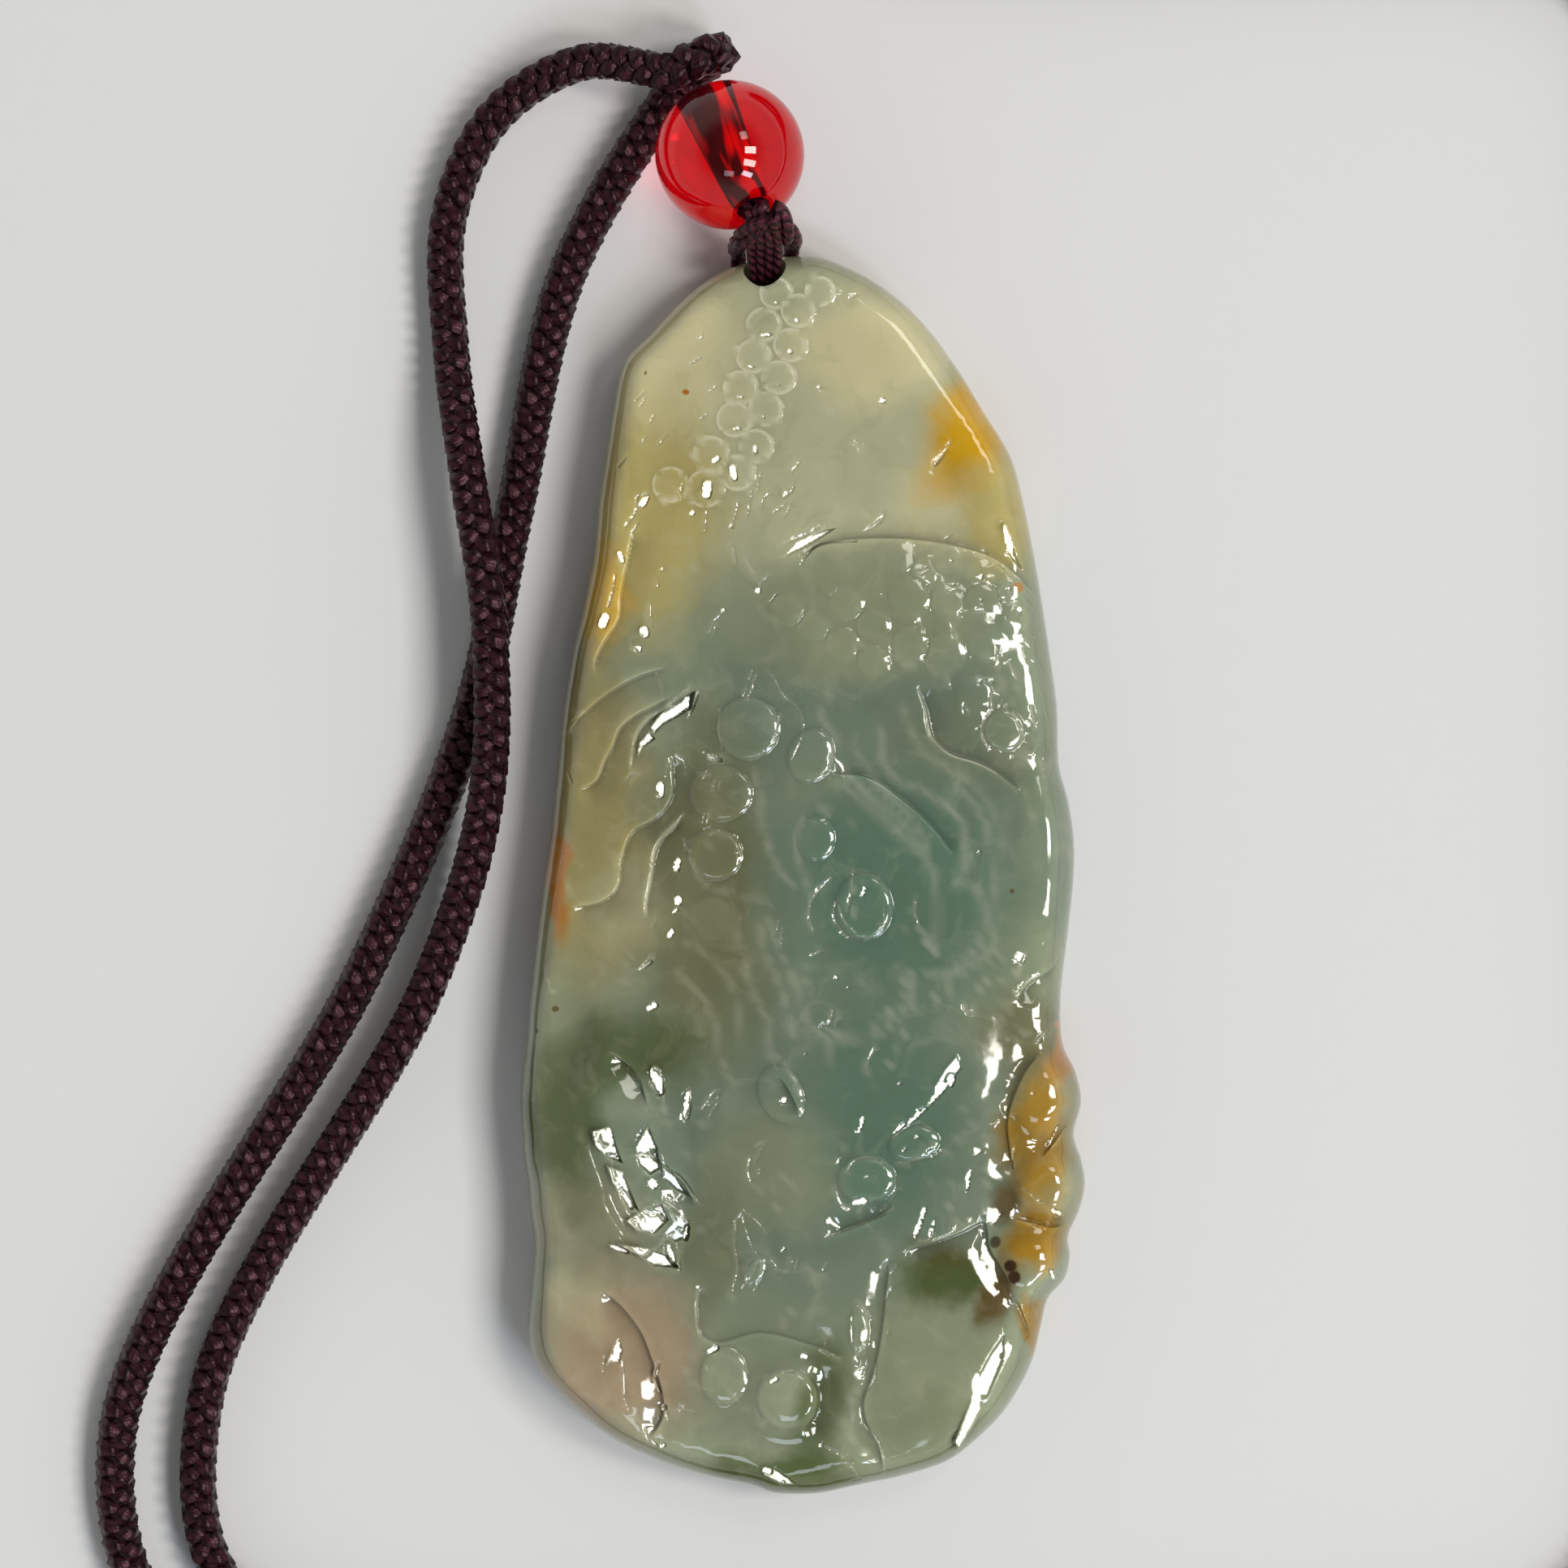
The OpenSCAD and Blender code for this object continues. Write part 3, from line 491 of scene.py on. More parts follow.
# Small flat cuts that all lean the same way. Columns: x, y, half width, half height, turn.
FACETS = (
    (-1.25, 30.65, 0.18, 0.09, 0), (-0.15, 29.7, 0.17, 0.14, -20), (-1.8, 28.9, 0.38, 0.12, 5),
    (-0.5, 28, 0.2, 0.15, -35), (-2.6, 27.2, 0.25, 0.09, -10), (-1.15, 26.2, 0.15, 0.1, -20),
    (-3.15, 25.55, 0.25, 0.1, -5), (-1.9, 24.5, 0.08, 0.2, 25), (-3.35, 23.85, 0.28, 0.12, 5),
    (-2.35, 22.75, 0.15, 0.3, 15), (-4.45, 22.2, 0.3, 0.2, 40), (-3.5, 21.5, 0.22, 0.5, 12),
    (-4.9, 20.6, 0.3, 0.55, -8), (-6.28, 20.7, 0.1, 0.32, -3), (-8.3, 20.05, 0.28, 0.45, -25),
    (4.45, 25.4, 0.2, 0.22, 0), (1.05, 26.1, 0.16, 0.13, 0), (-5.7, 19.35, 0.2, 0.18, 30),
    (-2.2, 15.2, 0.22, 0.2, 0), (-4.05, 14.15, 0.18, 0.14, 0), (-7.3, 16.4, 0.1, 0.2, 0),
    (-7.55, 15.5, 0.1, 0.15, 30), (-9.5, 17, 0.18, 0.4, 20), (-10.4, 13.6, 0.28, 0.5, -20),
    (-8.25, 13, 0.28, 0.35, 10), (-8.6, 12.1, 0.25, 0.2, 0), (-3.6, 18.6, 0.16, 0.14, 0),
    (9.65, 15.95, 0.18, 0.2, -20), (9.7, 14.7, 0.1, 0.1, 0), (11.2, 15.3, 0.12, 0.12, 0),
    (11.75, 14.2, 0.18, 0.22, 30), (11.05, 13.75, 0.1, 0.1, 0), (8.2, 15.52, 0.16, 0.08, 15),
    (6.75, 16.45, 0.18, 0.1, 25), (8.15, 16.8, 0.14, 0.08, 15), (10.25, 10.3, 0.14, 0.14, 0),
    (9.65, 10.4, 0.11, 0.2, -25), (9.5, 7.85, 0.12, 0.1, 0), (9.6, 1.3, 0.1, 0.1, 0),
    (-7.4, 4.6, 0.25, 0.5, 0), (-6.5, 0.6, 0.22, 0.45, -10), (-6.45, -1.3, 0.25, 0.3, 0),
    (-6.6, -1.85, 0.25, 0.14, 35), (-6.85, -3.05, 0.2, 0.32, -35), (-7.85, -6.95, 0.4, 0.22, 25),
    (-8.2, -4.75, 0.5, 0.18, 35), (0.35, -9.4, 0.12, 0.16, 0), (1.95, -5.35, 0.12, 0.22, 20),
    (2.6, -5.9, 0.12, 0.08, 0), (3.4, -0.8, 0.16, 0.35, -10), (-7.8, -16.35, 0.28, 0.35, 40),
    (-9.15, -17.2, 0.16, 0.65, 28), (-6.85, -20.1, 0.2, 0.62, 20), (-5.95, -12.2, 0.24, 0.85, -5),
    (-7.55, -10.9, 0.34, 0.85, 12), (-9.6, -19.85, 0.14, 0.65, 68), (-6, -19, 0.18, 0.48, -10),
    (-0.8, -11.9, 0.22, 0.2, 0), (3.25, -13.2, 0.2, 0.55, -20), (2.1, -15.1, 0.12, 0.25, -15),
    (3.55, -15.95, 0.22, 0.1, 5), (3.2, -17.3, 0.48, 0.22, 10), (3.95, -17.8, 0.1, 0.08, 0),
    (5.35, -11, 0.12, 0.12, 0), (6.25, -13.85, 0.15, 0.12, 30), (5.6, -14.5, 0.1, 0.2, -30),
    (9.5, -14.7, 0.3, 0.16, 30), (9, -16.1, 0.16, 0.72, -8), (5.3, -13.4, 0.14, 0.55, -50),
    (8.05, -10.85, 0.28, 0.4, -20), (13.55, -13.9, 0.12, 0.85, -25), (13.7, -17.9, 0.42, 0.16, -25),
    (13.5, -21.25, 0.16, 0.38, 25), (6.45, -18.3, 0.2, 1, -18), (7.15, -18.7, 0.1, 0.55, -12),
    (10.5, -18.15, 0.22, 0.5, -35), (9.7, -19, 0.12, 0.35, 10), (-0.85, -19.85, 0.22, 0.12, 40),
    (0.25, -25.55, 0.26, 0.18, -10), (-1.35, -26.8, 0.32, 0.16, 35), (-4.6, -25.2, 0.42, 0.2, 28),
    (2.8, -24.1, 0.12, 0.95, 0), (3.35, -26.4, 0.22, 0.42, -25), (1.15, -30.35, 0.2, 0.16, 0),
    (-1.7, -31.7, 0.32, 0.2, -20), (-7.6, -26.3, 0.16, 0.45, -15), (-7.2, -28.3, 0.18, 0.2, 0),
    (-7.3, -30.4, 0.22, 0.16, 20), (7.6, 22.4, 0.16, 0.75, -38), (11.85, -4.35, 0.26, 0.32, -15),
    (12.9, -8.6, 0.18, 0.35, -30), (12.45, -11.5, 0.1, 0.22, 10), (-4.5, 6.3, 0.5, 0.16, -22),
    (1.2, -7.9, 0.25, 0.14, 30),
)

# Cut strokes, those of one width and strength together and from the top down.
# Columns: width, strength, then for each stroke x and y of the points of its middle line.
STROKES = (
    (0.06, 0.6, (10.9, -5.4, 10.4, -6.3, 9.8, -7.2)),
    (0.08, 0.5, (12.9, -5.1, 11.8, -6.2, 10.7, -8, 9.7, -9.7),
     (12.3, -5.2, 11.4, -6.6, 10.3, -8.3, 9.5, -9.2), (13.3, -5.9, 12.3, -7, 11.3, -8.5, 10.1, -10),
     (13.6, -6.6, 12.9, -7.6, 12, -8.9, 10.9, -10.4), (9.6, -9.6, 9, -10.6, 8.4, -11.8),
     (10.5, -9.8, 9.7, -11, 8.8, -12.4)),
    (0.08, 0.6, (11.6, -6, 11.1, -6.9, 10.6, -7.8)),
    (0.1, 0.4, (6.6, -2.6, 6.85, -3.3)),
    (0.1, 0.5, (4.7, 16, 4.85, 15.65), (3, 11.9, 3, 11.5), (6.6, 11.7, 6.65, 11.4),
     (11.1, 11.3, 11, 11.8, 11.2, 12.3), (1.9, 4.75, 2.05, 4.9), (-1.6, 1.95, -1.2, 2.3),
     (10.2, -11.2, 10.6, -10.9), (10.4, -13.2, 10.6, -13.05), (8.1, -15.7, 8.2, -16),
     (-1.75, -22.5, -1.85, -23)),
    (0.1, 0.6, (5.75, 17.2, 6.1, 17.4), (4.45, 14.95, 4.65, 14.8), (0.35, 14, 0, 13.55),
     (12.4, 13, 12.6, 12.8), (12.7, 10.5, 13, 9.7)),
    (0.1, 0.7, (-4.75, 25.9, -4.45, 26.15), (3.9, 25.6, 4, 25.4), (-5.25, 24.4, -4.95, 24.65),
     (-1.2, 19.55, -0.75, 19.6), (1.8, 19.5, 1.5, 18.8), (5.45, 19.2, 5.5, 18.85), (1.65, 3.5, 1.95, 3.75),
     (3.3, 2.85, 3.05, 2.3), (1.8, -8.8, 1.8, -9.1), (-6.2, -11.6, -5.8, -11.3, -5.75, -12.2, -6.1, -13.1),
     (0.75, -21.6, 0.62, -22), (1.4, -21.6, 1.35, -22), (1, -21.65, 0.9, -22)),
    (0.1, 0.8, (5.8, 17.35, 6.15, 17.6), (4.6, 11.5, 4.68, 11.2), (-7.6, 10.75, -7.4, 10.4, -7.3, 10),
     (1.25, 6.8, 1.3, 6.35), (2.82, -1.55, 2.75, -2.1), (11.6, -8.8, 11.8, -8.5),
     (11.75, -8.9, 11.95, -8.4), (-4.3, -11.75, -4.8, -12.2)),
    (0.1, 0.9, (0.25, 14.1, 0, 13.75), (-10.75, -13.75, -10.4, -14.3, -10.05, -14.95)),
    (0.12, 0.3, (4.6, -9.8, 4.5, -9.3)),
    (0.12, 0.4, (1.2, 33.1, 1.45, 32.75), (-5.85, 13.2, -5.75, 12.5, -5.5, 11.9),
     (5, 11.8, 5.5, 11.25, 6.3, 11.25, 6.7, 11.5), (6.7, 11.4, 7.3, 10.7, 8.3, 10.5),
     (12.1, 9.6, 12.5, 9.4), (8.9, 9, 9.2, 8.3, 9.8, 7.9), (-13.85, -4.2, -13.4, -5.6, -12.9, -7),
     (14.1, -9.3, 14.25, -9.9), (-9.1, -14, -8.95, -14.1), (2.3, -14.4, 3.3, -14.7, 3.9, -14.35),
     (-5.3, -18.4, -5.1, -19), (12.4, -22.2, 12.6, -22.6, 12.9, -22.9),
     (11.6, -27.4, 11, -28.4, 10.1, -29.5), (7.75, -29, 7.85, -28.8)),
    (0.12, 0.5, (2.15, 31.6, 2.05, 31), (-9.65, 21.85, -9.3, 22.3), (7.7, 17.95, 8.15, 18.2),
     (12, 15, 12.5, 14.4, 12.9, 13.9), (9.45, 14.15, 9.9, 14.2), (-2.4, 9.6, -1.8, 9.25),
     (1.65, 6, 1.6, 4.9), (3.1, 3.2, 2.75, 2.7, 2.7, 1.6, 2.75, 0.5), (0.2, 3.1, 0.6, 3, 0.95, 2.75),
     (-5.6, 0.5, -5.3, 0), (-7.8, -1.7, -7.5, -1.9), (-7.8, -2.7, -7.6, -2.3),
     (9.8, -14, 10.4, -14, 10.75, -14.3), (7.1, -14.9, 7.6, -14.6), (5.2, -15.9, 5.15, -16.6, 4.85, -17.2),
     (-2.9, -17.8, -2.2, -18.4, -1.7, -19), (-2.85, -18.7, -2.45, -19.8, -2, -20.3),
     (8.95, -19.4, 9.05, -19.95), (4.3, -20.1, 4.9, -19.85), (4.75, -24.1, 4.6, -24.8),
     (4, -24.6, 4.05, -25.1), (-6.3, -28.5, -5.6, -28.65)),
    (0.12, 0.6, (1.5, 32.1, 1.95, 31.2), (0.3, 31.05, 0.7, 30.5, 0.85, 29.9), (-8.5, 25.1, -8.25, 25.5),
     (8, 15.15, 8.45, 15.3), (-1.15, 15.1, -1.5, 14.65), (13.2, 12.3, 13.5, 11.4, 13.6, 10.4, 13.6, 9.4),
     (12.3, 11.6, 12.5, 11.4), (13.1, 9.8, 13.2, 8.9, 13.45, 8, 13.45, 7, 13.6, 6.1, 13.35, 5.2),
     (-11.5, 8.8, -12.3, 8, -12.8, 7), (-4.2, 2.4, -3.5, 2, -3.1, 1.2, -3.15, 0.4), (-4.8, 1.6, -4.6, 1.3),
     (-2.3, -1.4, -1.7, -1.4, -1.3, -1.7), (5.5, -3.2, 6.1, -4.3, 6.7, -4.7), (5.5, -6.35, 5.65, -6.5),
     (1.75, -10.1, 2, -10.6, 2.45, -11.1), (8.05, -14.6, 7.95, -15.1),
     (-10.05, -17, -9.6, -18, -9.2, -18.6), (3.4, -17.6, 3.1, -17.95), (13.95, -19.7, 14, -20),
     (-0.8, -26.4, -0.3, -26.35), (-0.8, -26.85, -0.3, -26.95), (-7.8, -27.4, -7.6, -27.1)),
    (0.12, 0.7, (-5.75, 27.42, -5.3, 27.68), (-7.95, 24.25, -7.78, 24.6), (-8.4, 23.2, -8.15, 23.5),
     (-7.5, 23.05, -7.1, 23.5), (6.45, 16.1, 6.75, 16.2, 6.95, 16.4), (12.9, 7, 12.5, 6.5),
     (11.3, 6.4, 12, 5.8), (-5.4, 5.6, -4.9, 5.4, -3.6, 5.4), (-12.35, 5.45, -12.15, 5),
     (-6.2, -13.4, -6.2, -14.2, -5.95, -14.7, -5.95, -15.1), (-8.1, -14.2, -7.9, -14.8, -7.4, -15.3),
     (-11.2, -14.4, -10.9, -15.3, -10.5, -16.4, -10.3, -17.5, -9.9, -18.3, -9.35, -19.1),
     (-2, -14.5, -2.35, -15.2), (11.3, -15.7, 11.38, -15, 11.55, -14),
     (9.9, -16.6, 10.05, -16.1, 10.35, -15.85), (9.35, -16.9, 9.7, -16, 10.4, -15.2),
     (11.6, -18.1, 12.2, -18.5, 12.7, -18.6), (5.8, -19.95, 5.3, -20.5, 4.9, -21.1),
     (-0.1, -20.3, -0.2, -20.85), (1.6, -24.3, 1.35, -24.95),
     (-7.45, -25.9, -7.7, -26.4, -7.55, -27, -7.35, -27.5), (4.1, -26, 4, -26.8, 3.6, -27.4),
     (-5, -26, -4.6, -26.6), (-7.9, -30.1, -7.65, -30.35), (3.3, -32.25, 2.9, -32.35)),
    (0.12, 0.8, (-5.3, 28.72, -4.97, 29), (-8.72, 25.4, -8.27, 25.87),
     (-1.3, 19.4, -0.7, 19.85, -0.5, 19.7, -0.8, 19.1),
     (10.9, 16.5, 11.6, 15.9, 12.3, 15.5, 12.9, 14.6, 13.15, 13.9), (12, 16.1, 12.4, 15.5, 12.9, 14.9),
     (-2.05, 15.6, -1.7, 15.95, -1.35, 16.1), (3.3, 14.45, 3.1, 14.1), (1.7, 13.5, 1.6, 13.15),
     (-4.45, 13.4, -4.55, 12.9), (-8.9, 12.7, -8.4, 12.8), (-8.95, 12.6, -8.75, 12, -8.3, 11.8),
     (-4.9, 5.6, -5.1, 5.2), (-4.45, 5.1, -4.6, 4.8), (-4.2, 5, -4.3, 4.7), (1.6, 3.75, 1.7, 3.3),
     (-4.7, 2.25, -4.35, 2.35), (-0.9, -2.8, -1, -3.8), (1.9, -7.9, 2.05, -7.1),
     (-8, -10.5, -7.9, -11, -7.45, -11.7), (-5.2, -13.05, -5.3, -13.4), (8, -14.15, 8.6, -13.95, 9, -13.95),
     (8.2, -14.5, 8.6, -14), (-8.75, -14.9, -8.3, -14.75, -7.9, -14.9), (-10.1, -15, -9.6, -14.8),
     (5.2, -15.2, 5.9, -15.2, 6.8, -14.8, 7.3, -14.1), (4.4, -17.75, 4.6, -17.65),
     (7.8, -18.1, 7.95, -17.7, 8.1, -17.3), (8, -18.8, 8.3, -18.5, 8.6, -18.05), (1.5, -22, 1.48, -22.5),
     (0.6, -23.2, 0.62, -23.5), (-5.6, -25.6, -5.4, -25.15), (2.75, -29, 2.85, -29.7, 3.3, -30.4),
     (1.3, -30.4, 2.4, -31, 3, -31.8, 3.3, -32.2)),
    (0.12, 0.9, (-5.35, 17.4, -5.55, 16.7, -5.7, 15.9), (2.1, 15.3, 1.7, 14.95), (12.85, 11.4, 13, 11),
     (10.9, 7.9, 11.05, 7.1), (2.3, 5.95, 2.35, 5.4, 2.5, 5), (-5.05, 3.3, -5.15, 2.85),
     (1.35, 3.15, 1.5, 2.8), (3.55, 2.65, 3.3, 2.4, 3.05, 1.95), (-5, 2.5, -4.7, 2.6),
     (-6.15, 2, -6, 1.45, -5.75, 1.3), (1.95, -1.4, 1.85, -2.2, 2.3, -3), (7.4, -1.4, 7.45, -3, 7.3, -3.8),
     (2.1, -1.6, 2.4, -2.4, 3, -3), (-1.1, -2.4, -1.2, -2.9, -1.45, -3.3),
     (1.4, -8.05, 1.85, -8.35, 2.25, -8.3), (6.05, -8.65, 6.3, -7.9), (-4.3, -12, -4.7, -12.6, -4.9, -13.3),
     (-5.5, -14.4, -5.8, -14.95), (0.5, -20.4, 0.4, -20.8), (-0.4, -22.95, -0.45, -23.3),
     (0.25, -23.7, 0.3, -24.25)),
    (0.12, 1, (2.7, 23.5, 3.35, 22.95), (2.9, 23.3, 3.15, 22.9, 3.4, 22.4),
     (-7.9, 14.7, -7.95, 14, -7.85, 13.4), (-8.35, 13.75, -7.85, 13.35)),
    (0.14, 0.3, (-7.1, -6.3, -6.8, -6.6)),
    (0.14, 0.4, (-4.2, 8.9, -4.3, 7.8, -4.1, 6.8), (-9.9, 7, -10.1, 6.2, -10.4, 5.4),
     (-13.85, -7.1, -13.95, -8.5, -14.1, -10, -14.2, -12), (-7.1, -7.2, -6.7, -7.5),
     (-2.6, -16.3, -1.7, -17, -1.1, -17.7), (-10.2, -22.3, -9.2, -23.3, -8.4, -24.4)),
    (0.14, 0.5, (6.45, 24.6, 6.2, 23.7, 5.75, 22.9), (0.1, 16.6, 0.35, 17, 0.8, 17.5, 1.5, 17.75, 3, 17.85),
     (-1.9, 11.2, -1.3, 10.5, -0.8, 9.6, 0, 8.9, 0.25, 8, 0, 7, -0.4, 6.2), (-7.3, 6.9, -7, 6, -7.1, 5.3),
     (5, 5.25, 5.3, 5, 5.45, 5), (14.95, -11.5, 15, -12.4, 14.3, -13.5, 13.5, -14.5),
     (12, -16.7, 12.8, -17.3), (0.3, -19.1, 0.55, -19.3),
     (14.2, -19.2, 14.3, -20.5, 14, -21.7, 13.2, -22.2)),
    (0.14, 0.6, (-5.35, 9.75, -5.6, 9.1, -5.9, 8.4), (-1.05, 8.6, -1.15, 7.6, -1.7, 6.75, -2.3, 6.3),
     (2.3, -3.05, 3.2, -3.35, 4.2, -3.05, 4.5, -2.3, 4.5, -1.9), (-9, -10.2, -8.5, -10.9, -8.1, -12.4),
     (-1.2, -21, -1.3, -21.5), (2.3, -25.7, 3, -25.7)),
    (0.14, 0.7, (-2.05, 21.5, -2.25, 20.6), (4.95, 12.6, 4.85, 12, 4.95, 11.3),
     (-6.5, 6.4, -6.1, 6, -6, 5.4), (5.8, 1.5, 6.35, 1), (12.7, -8.9, 13, -8.5, 13.3, -8.2),
     (7.5, -15, 7.9, -15.35, 8.15, -15.2),
     (-2, -20.5, -1.4, -20.5, -1, -20.9, 0.4, -21.1, 1.3, -21.2, 2.2, -21.4, 2.8, -21, 3.1, -20.45),
     (-10.35, -25.6, -10.45, -26.4)),
    (0.14, 0.8, (1.1, 26, 1.35, 25.4, 1.65, 24.45), (12.05, 12.45, 12.25, 12.2), (12.6, 8.1, 12.5, 7.3),
     (6.6, 1, 6.9, 0.3, 7.2, -0.35), (0.72, -4.8, 0.6, -5.3), (4.45, -7.7, 4.7, -8, 4.95, -8.4),
     (-10.05, -9.4, -9.6, -9.65, -9.1, -10), (-7.7, -10.1, -7.2, -10.8, -7.2, -12, -7.3, -12.75),
     (11.2, -10.8, 11.5, -10.7), (-2.1, -15.6, -2.15, -15.85), (-9, -16.8, -8.7, -17.7, -8.1, -18.5),
     (9.85, -17.3, 10, -17), (7.2, -19.35, 8, -19.1, 8.6, -18.65, 9.4, -18.3),
     (5.9, -19.4, 6.8, -19.35, 7.2, -19), (-7.2, -19.5, -7.1, -20.1, -6.7, -20.7),
     (-2.4, -20.3, -2.8, -20.8, -2.8, -21.5), (-2.2, -20.5, -2.5, -21.2, -3, -21.9),
     (-2.05, -20.5, -2, -21.3, -2.5, -22.2), (-5.1, -21.6, -5.3, -22.3, -5.4, -23),
     (4.9, -21.9, 4.6, -22.5), (3, -22.75, 3.5, -23, 3.85, -23.6),
     (3.6, -23.3, 3.65, -24.2, 3.45, -25, 3, -25.6),
     (3.35, -28.4, 3.5, -29.1, 4, -29.8, 4.3, -30.3, 4.55, -31.1, 4.55, -32)),
    (0.14, 0.9, (-4.1, 14, -4.5, 13.6, -4.75, 13), (6.3, 13.9, 6.6, 13.3), (-2.5, 10.9, -2.65, 10.5),
     (-2.25, 10.7, -2.45, 10.35), (7, -6.9, 7.15, -6.4, 7.4, -6.2),
     (-9.97, -15.1, -9.75, -16.1, -9.4, -17.1, -8.95, -18.1, -8.4, -18.9, -7.6, -19.05),
     (1.5, -19.15, 3.2, -18.5, 4.4, -18, 5, -17.65), (-9.5, -19.3, -8.9, -19.9, -8.5, -20.3),
     (-6.5, -19.6, -6.4, -20.3, -6.35, -21), (-2.15, -22.8, -2.3, -23.5), (-0.9, -23.4, -0.8, -24),
     (2.9, -26.35, 3.4, -26.15)),
    (0.14, 1, (1.95, 19.75, 1.9, 19.15, 2.4, 18.75), (5.6, 19.5, 5, 19, 4.5, 18.5),
     (-2.8, 9.95, -2.95, 9.6), (1.15, 3.55, 1.6, 3.1), (-4.75, 3.35, -4.9, 2.85)),
    (0.15, 0.7, (10.6, 12, 10.65, 11, 10.8, 10, 10.9, 9.4, 10.65, 9)),
    (0.15, 0.8, (8, 10.4, 8.1, 9.95), (11.95, 6.5, 12.15, 6.2),
     (-3.35, -18.35, -3.45, -19.5, -3.3, -20.5, -3.35, -21.3, -3.7, -22.5, -3.9, -23.5)),
    (0.15, 0.9, (-2.55, 20.5, -2.75, 19.3, -2.9, 18.2, -2.8, 17, -2.4, 16.1, -2.05, 15.5),
     (6.4, 9.9, 6.75, 8.9, 6.85, 8, 7.05, 7.4), (8.75, 9.2, 8.7, 8.75), (13, 6.3, 13.1, 5.2),
     (5.85, -7.3, 5.4, -8.9, 4.7, -10.1, 3.85, -11.25)),
    (0.16, 0.45, (-10.5, -4.3, -9.5, -4.1, -8.7, -3.6), (-9.9, -4.6, -9, -4.2), (-9.4, -4.9, -8.2, -4)),
    (0.16, 0.6, (4.35, 7.7, 4.3, 7.2)),
    (0.16, 0.7, (-8.6, 18.8, -9, 18.2), (11.7, 10.5, 11.6, 10), (3.1, -20.5, 2.85, -20.95),
     (1.45, -20.6, 1.3, -20.9)),
    (0.16, 0.8, (9.4, 17.2, 10.1, 16.95, 10.9, 16.4), (3, 10.9, 3.05, 10.3), (10.25, 10.3, 10.5, 9.6),
     (8.6, -13.9, 8.9, -13.6, 9.15, -13.25), (-7.6, -17.5, -6.9, -17.6, -6.6, -18.2),
     (-6.4, -18.8, -7, -19.25, -7.7, -19.9)),
    (0.16, 0.9, (-4.95, 19.4, -5.05, 18.4), (6.85, 12.5, 6.5, 12), (-10.7, -5.8, -9.8, -5.7, -9, -5.45),
     (2.5, -15.7, 2.9, -15.15, 3.6, -14.95, 4.1, -15, 4.55, -15.3),
     (-3.4, -18.35, -3.05, -18, -2.95, -18.4), (-8.9, -20.1, -8.3, -20.3, -7.9, -20),
     (1.4, -23.9, 1.25, -24.4), (1.2, -25.25, 1.7, -25.5, 2.2, -25.7), (-7.3, -28.2, -7.1, -28.4, -7, -29)),
    (0.16, 1, (0, 22.05, -1, 21, -1.9, 20.1, -2.05, 19.4), (-3.2, 20.2, -3.45, 19.1, -3.65, 18.6),
     (3.55, 19.2, 3.45, 18.45), (9.9, 12.45, 9.92, 11.3), (-2.5, 10, -2.75, 9.4)),
    (0.18, 0.9, (5.3, -2.6, 5.6, -2.75, 5.95, -2.9), (4.65, -6.75, 4.78, -7.3, 5, -8.4)),
    (0.18, 1, (-3.6, 17.6, -3.45, 17.2, -3.4, 16.7), (0.7, -4.2, 1.1, -4),
     (1.6, -8.7, 1.62, -9.3, 1.68, -10), (-2.3, -14.35, -1.9, -14.1),
     (-2.65, -15.05, -2.72, -15.7, -2.6, -16.2)),
    (0.2, 0.25, (3, -5.5, 4.2, -5.9, 5, -5.6)),
    (0.2, 0.3, (-2.9, -5, -2.6, -6, -1.8, -7.2, -1.5, -8, -1.8, -9.2, -1.2, -10.2),
     (5.9, -5, 8, -5.3, 9.4, -4.6), (0.4, -5.5, 0.2, -6.8, 0.7, -7.9), (8, -6, 8.2, -8, 7.6, -9.5),
     (2, -8.4, 3.2, -8.3, 4, -8), (-1.5, -15, -0.8, -16, 0.2, -16.9),
     (-2.3, -28.4, -1.6, -30.3, -1, -31.2)),
    (0.2, 0.35, (-6.3, -24.6, -6.2, -26, -5.3, -27.2, -3.8, -27.5, -2.6, -28.6)),
    (0.2, 0.4, (7.05, 7.4, 8, 6.5, 9.5, 6, 10.5, 5.5)),
    (0.2, 0.8, (-9.85, 16, -9.95, 15.3, -10.2, 14.4), (11, 9.7, 11.3, 9.2),
     (-8.2, -17.85, -7.5, -17.95, -7.1, -18.45), (-0.4, -20.4, -0.5, -21)),
    (0.2, 0.9, (9.9, 17.35, 10.05, 17.1), (11.05, 9.05, 11.55, 8.5, 11.75, 8, 12.1, 7.3),
     (1.9, -16.35, 2.05, -17, 2.35, -17.55, 2.7, -17.7)),
    (0.2, 1, (-8.05, 20.4, -8.6, 20.2, -8.75, 19.4, -9.25, 18.7),
     (10.2, 8.7, 9.85, 8.2, 9.8, 7.5, 10.1, 6.95, 10.8, 6.6), (8.75, 1.8, 8.85, 1.2, 9, 0.6),
     (1.15, -8, 1.55, -7.8, 1.75, -7.1), (-3.9, -11.4, -4.5, -11.45, -4.85, -11.95, -5.15, -12.35)),
    (0.22, 0.9, (-8.1, -17.1, -7.2, -17.1, -6.4, -17.6, -6.05, -18.3)),
    (0.22, 1, (11.25, 11.4, 11.65, 10.7), (12.42, 9, 12.6, 8.3)),
    (0.24, 1, (10.3, 9.65, 10.3, 8.85)),
    (0.3, 0.3, (-10.3, 19.5, -10.7, 17.5, -10.9, 15.5, -10.8, 14), (-11.7, -10, -11.9, -12, -11.6, -14)),
    (0.3, 0.35, (5.85, 24.2, 5.45, 22.6, 5.4, 21),
     (-12.95, 5, -12.6, 3.5, -12.3, 1.5, -12.3, 0, -12.6, -1.5)),
    (0.5, 0.3, (11.5, 5.6, 12.1, 4.2, 12.4, 3), (9.2, 1.2, 9.5, -0.6, 9.4, -2.4)),
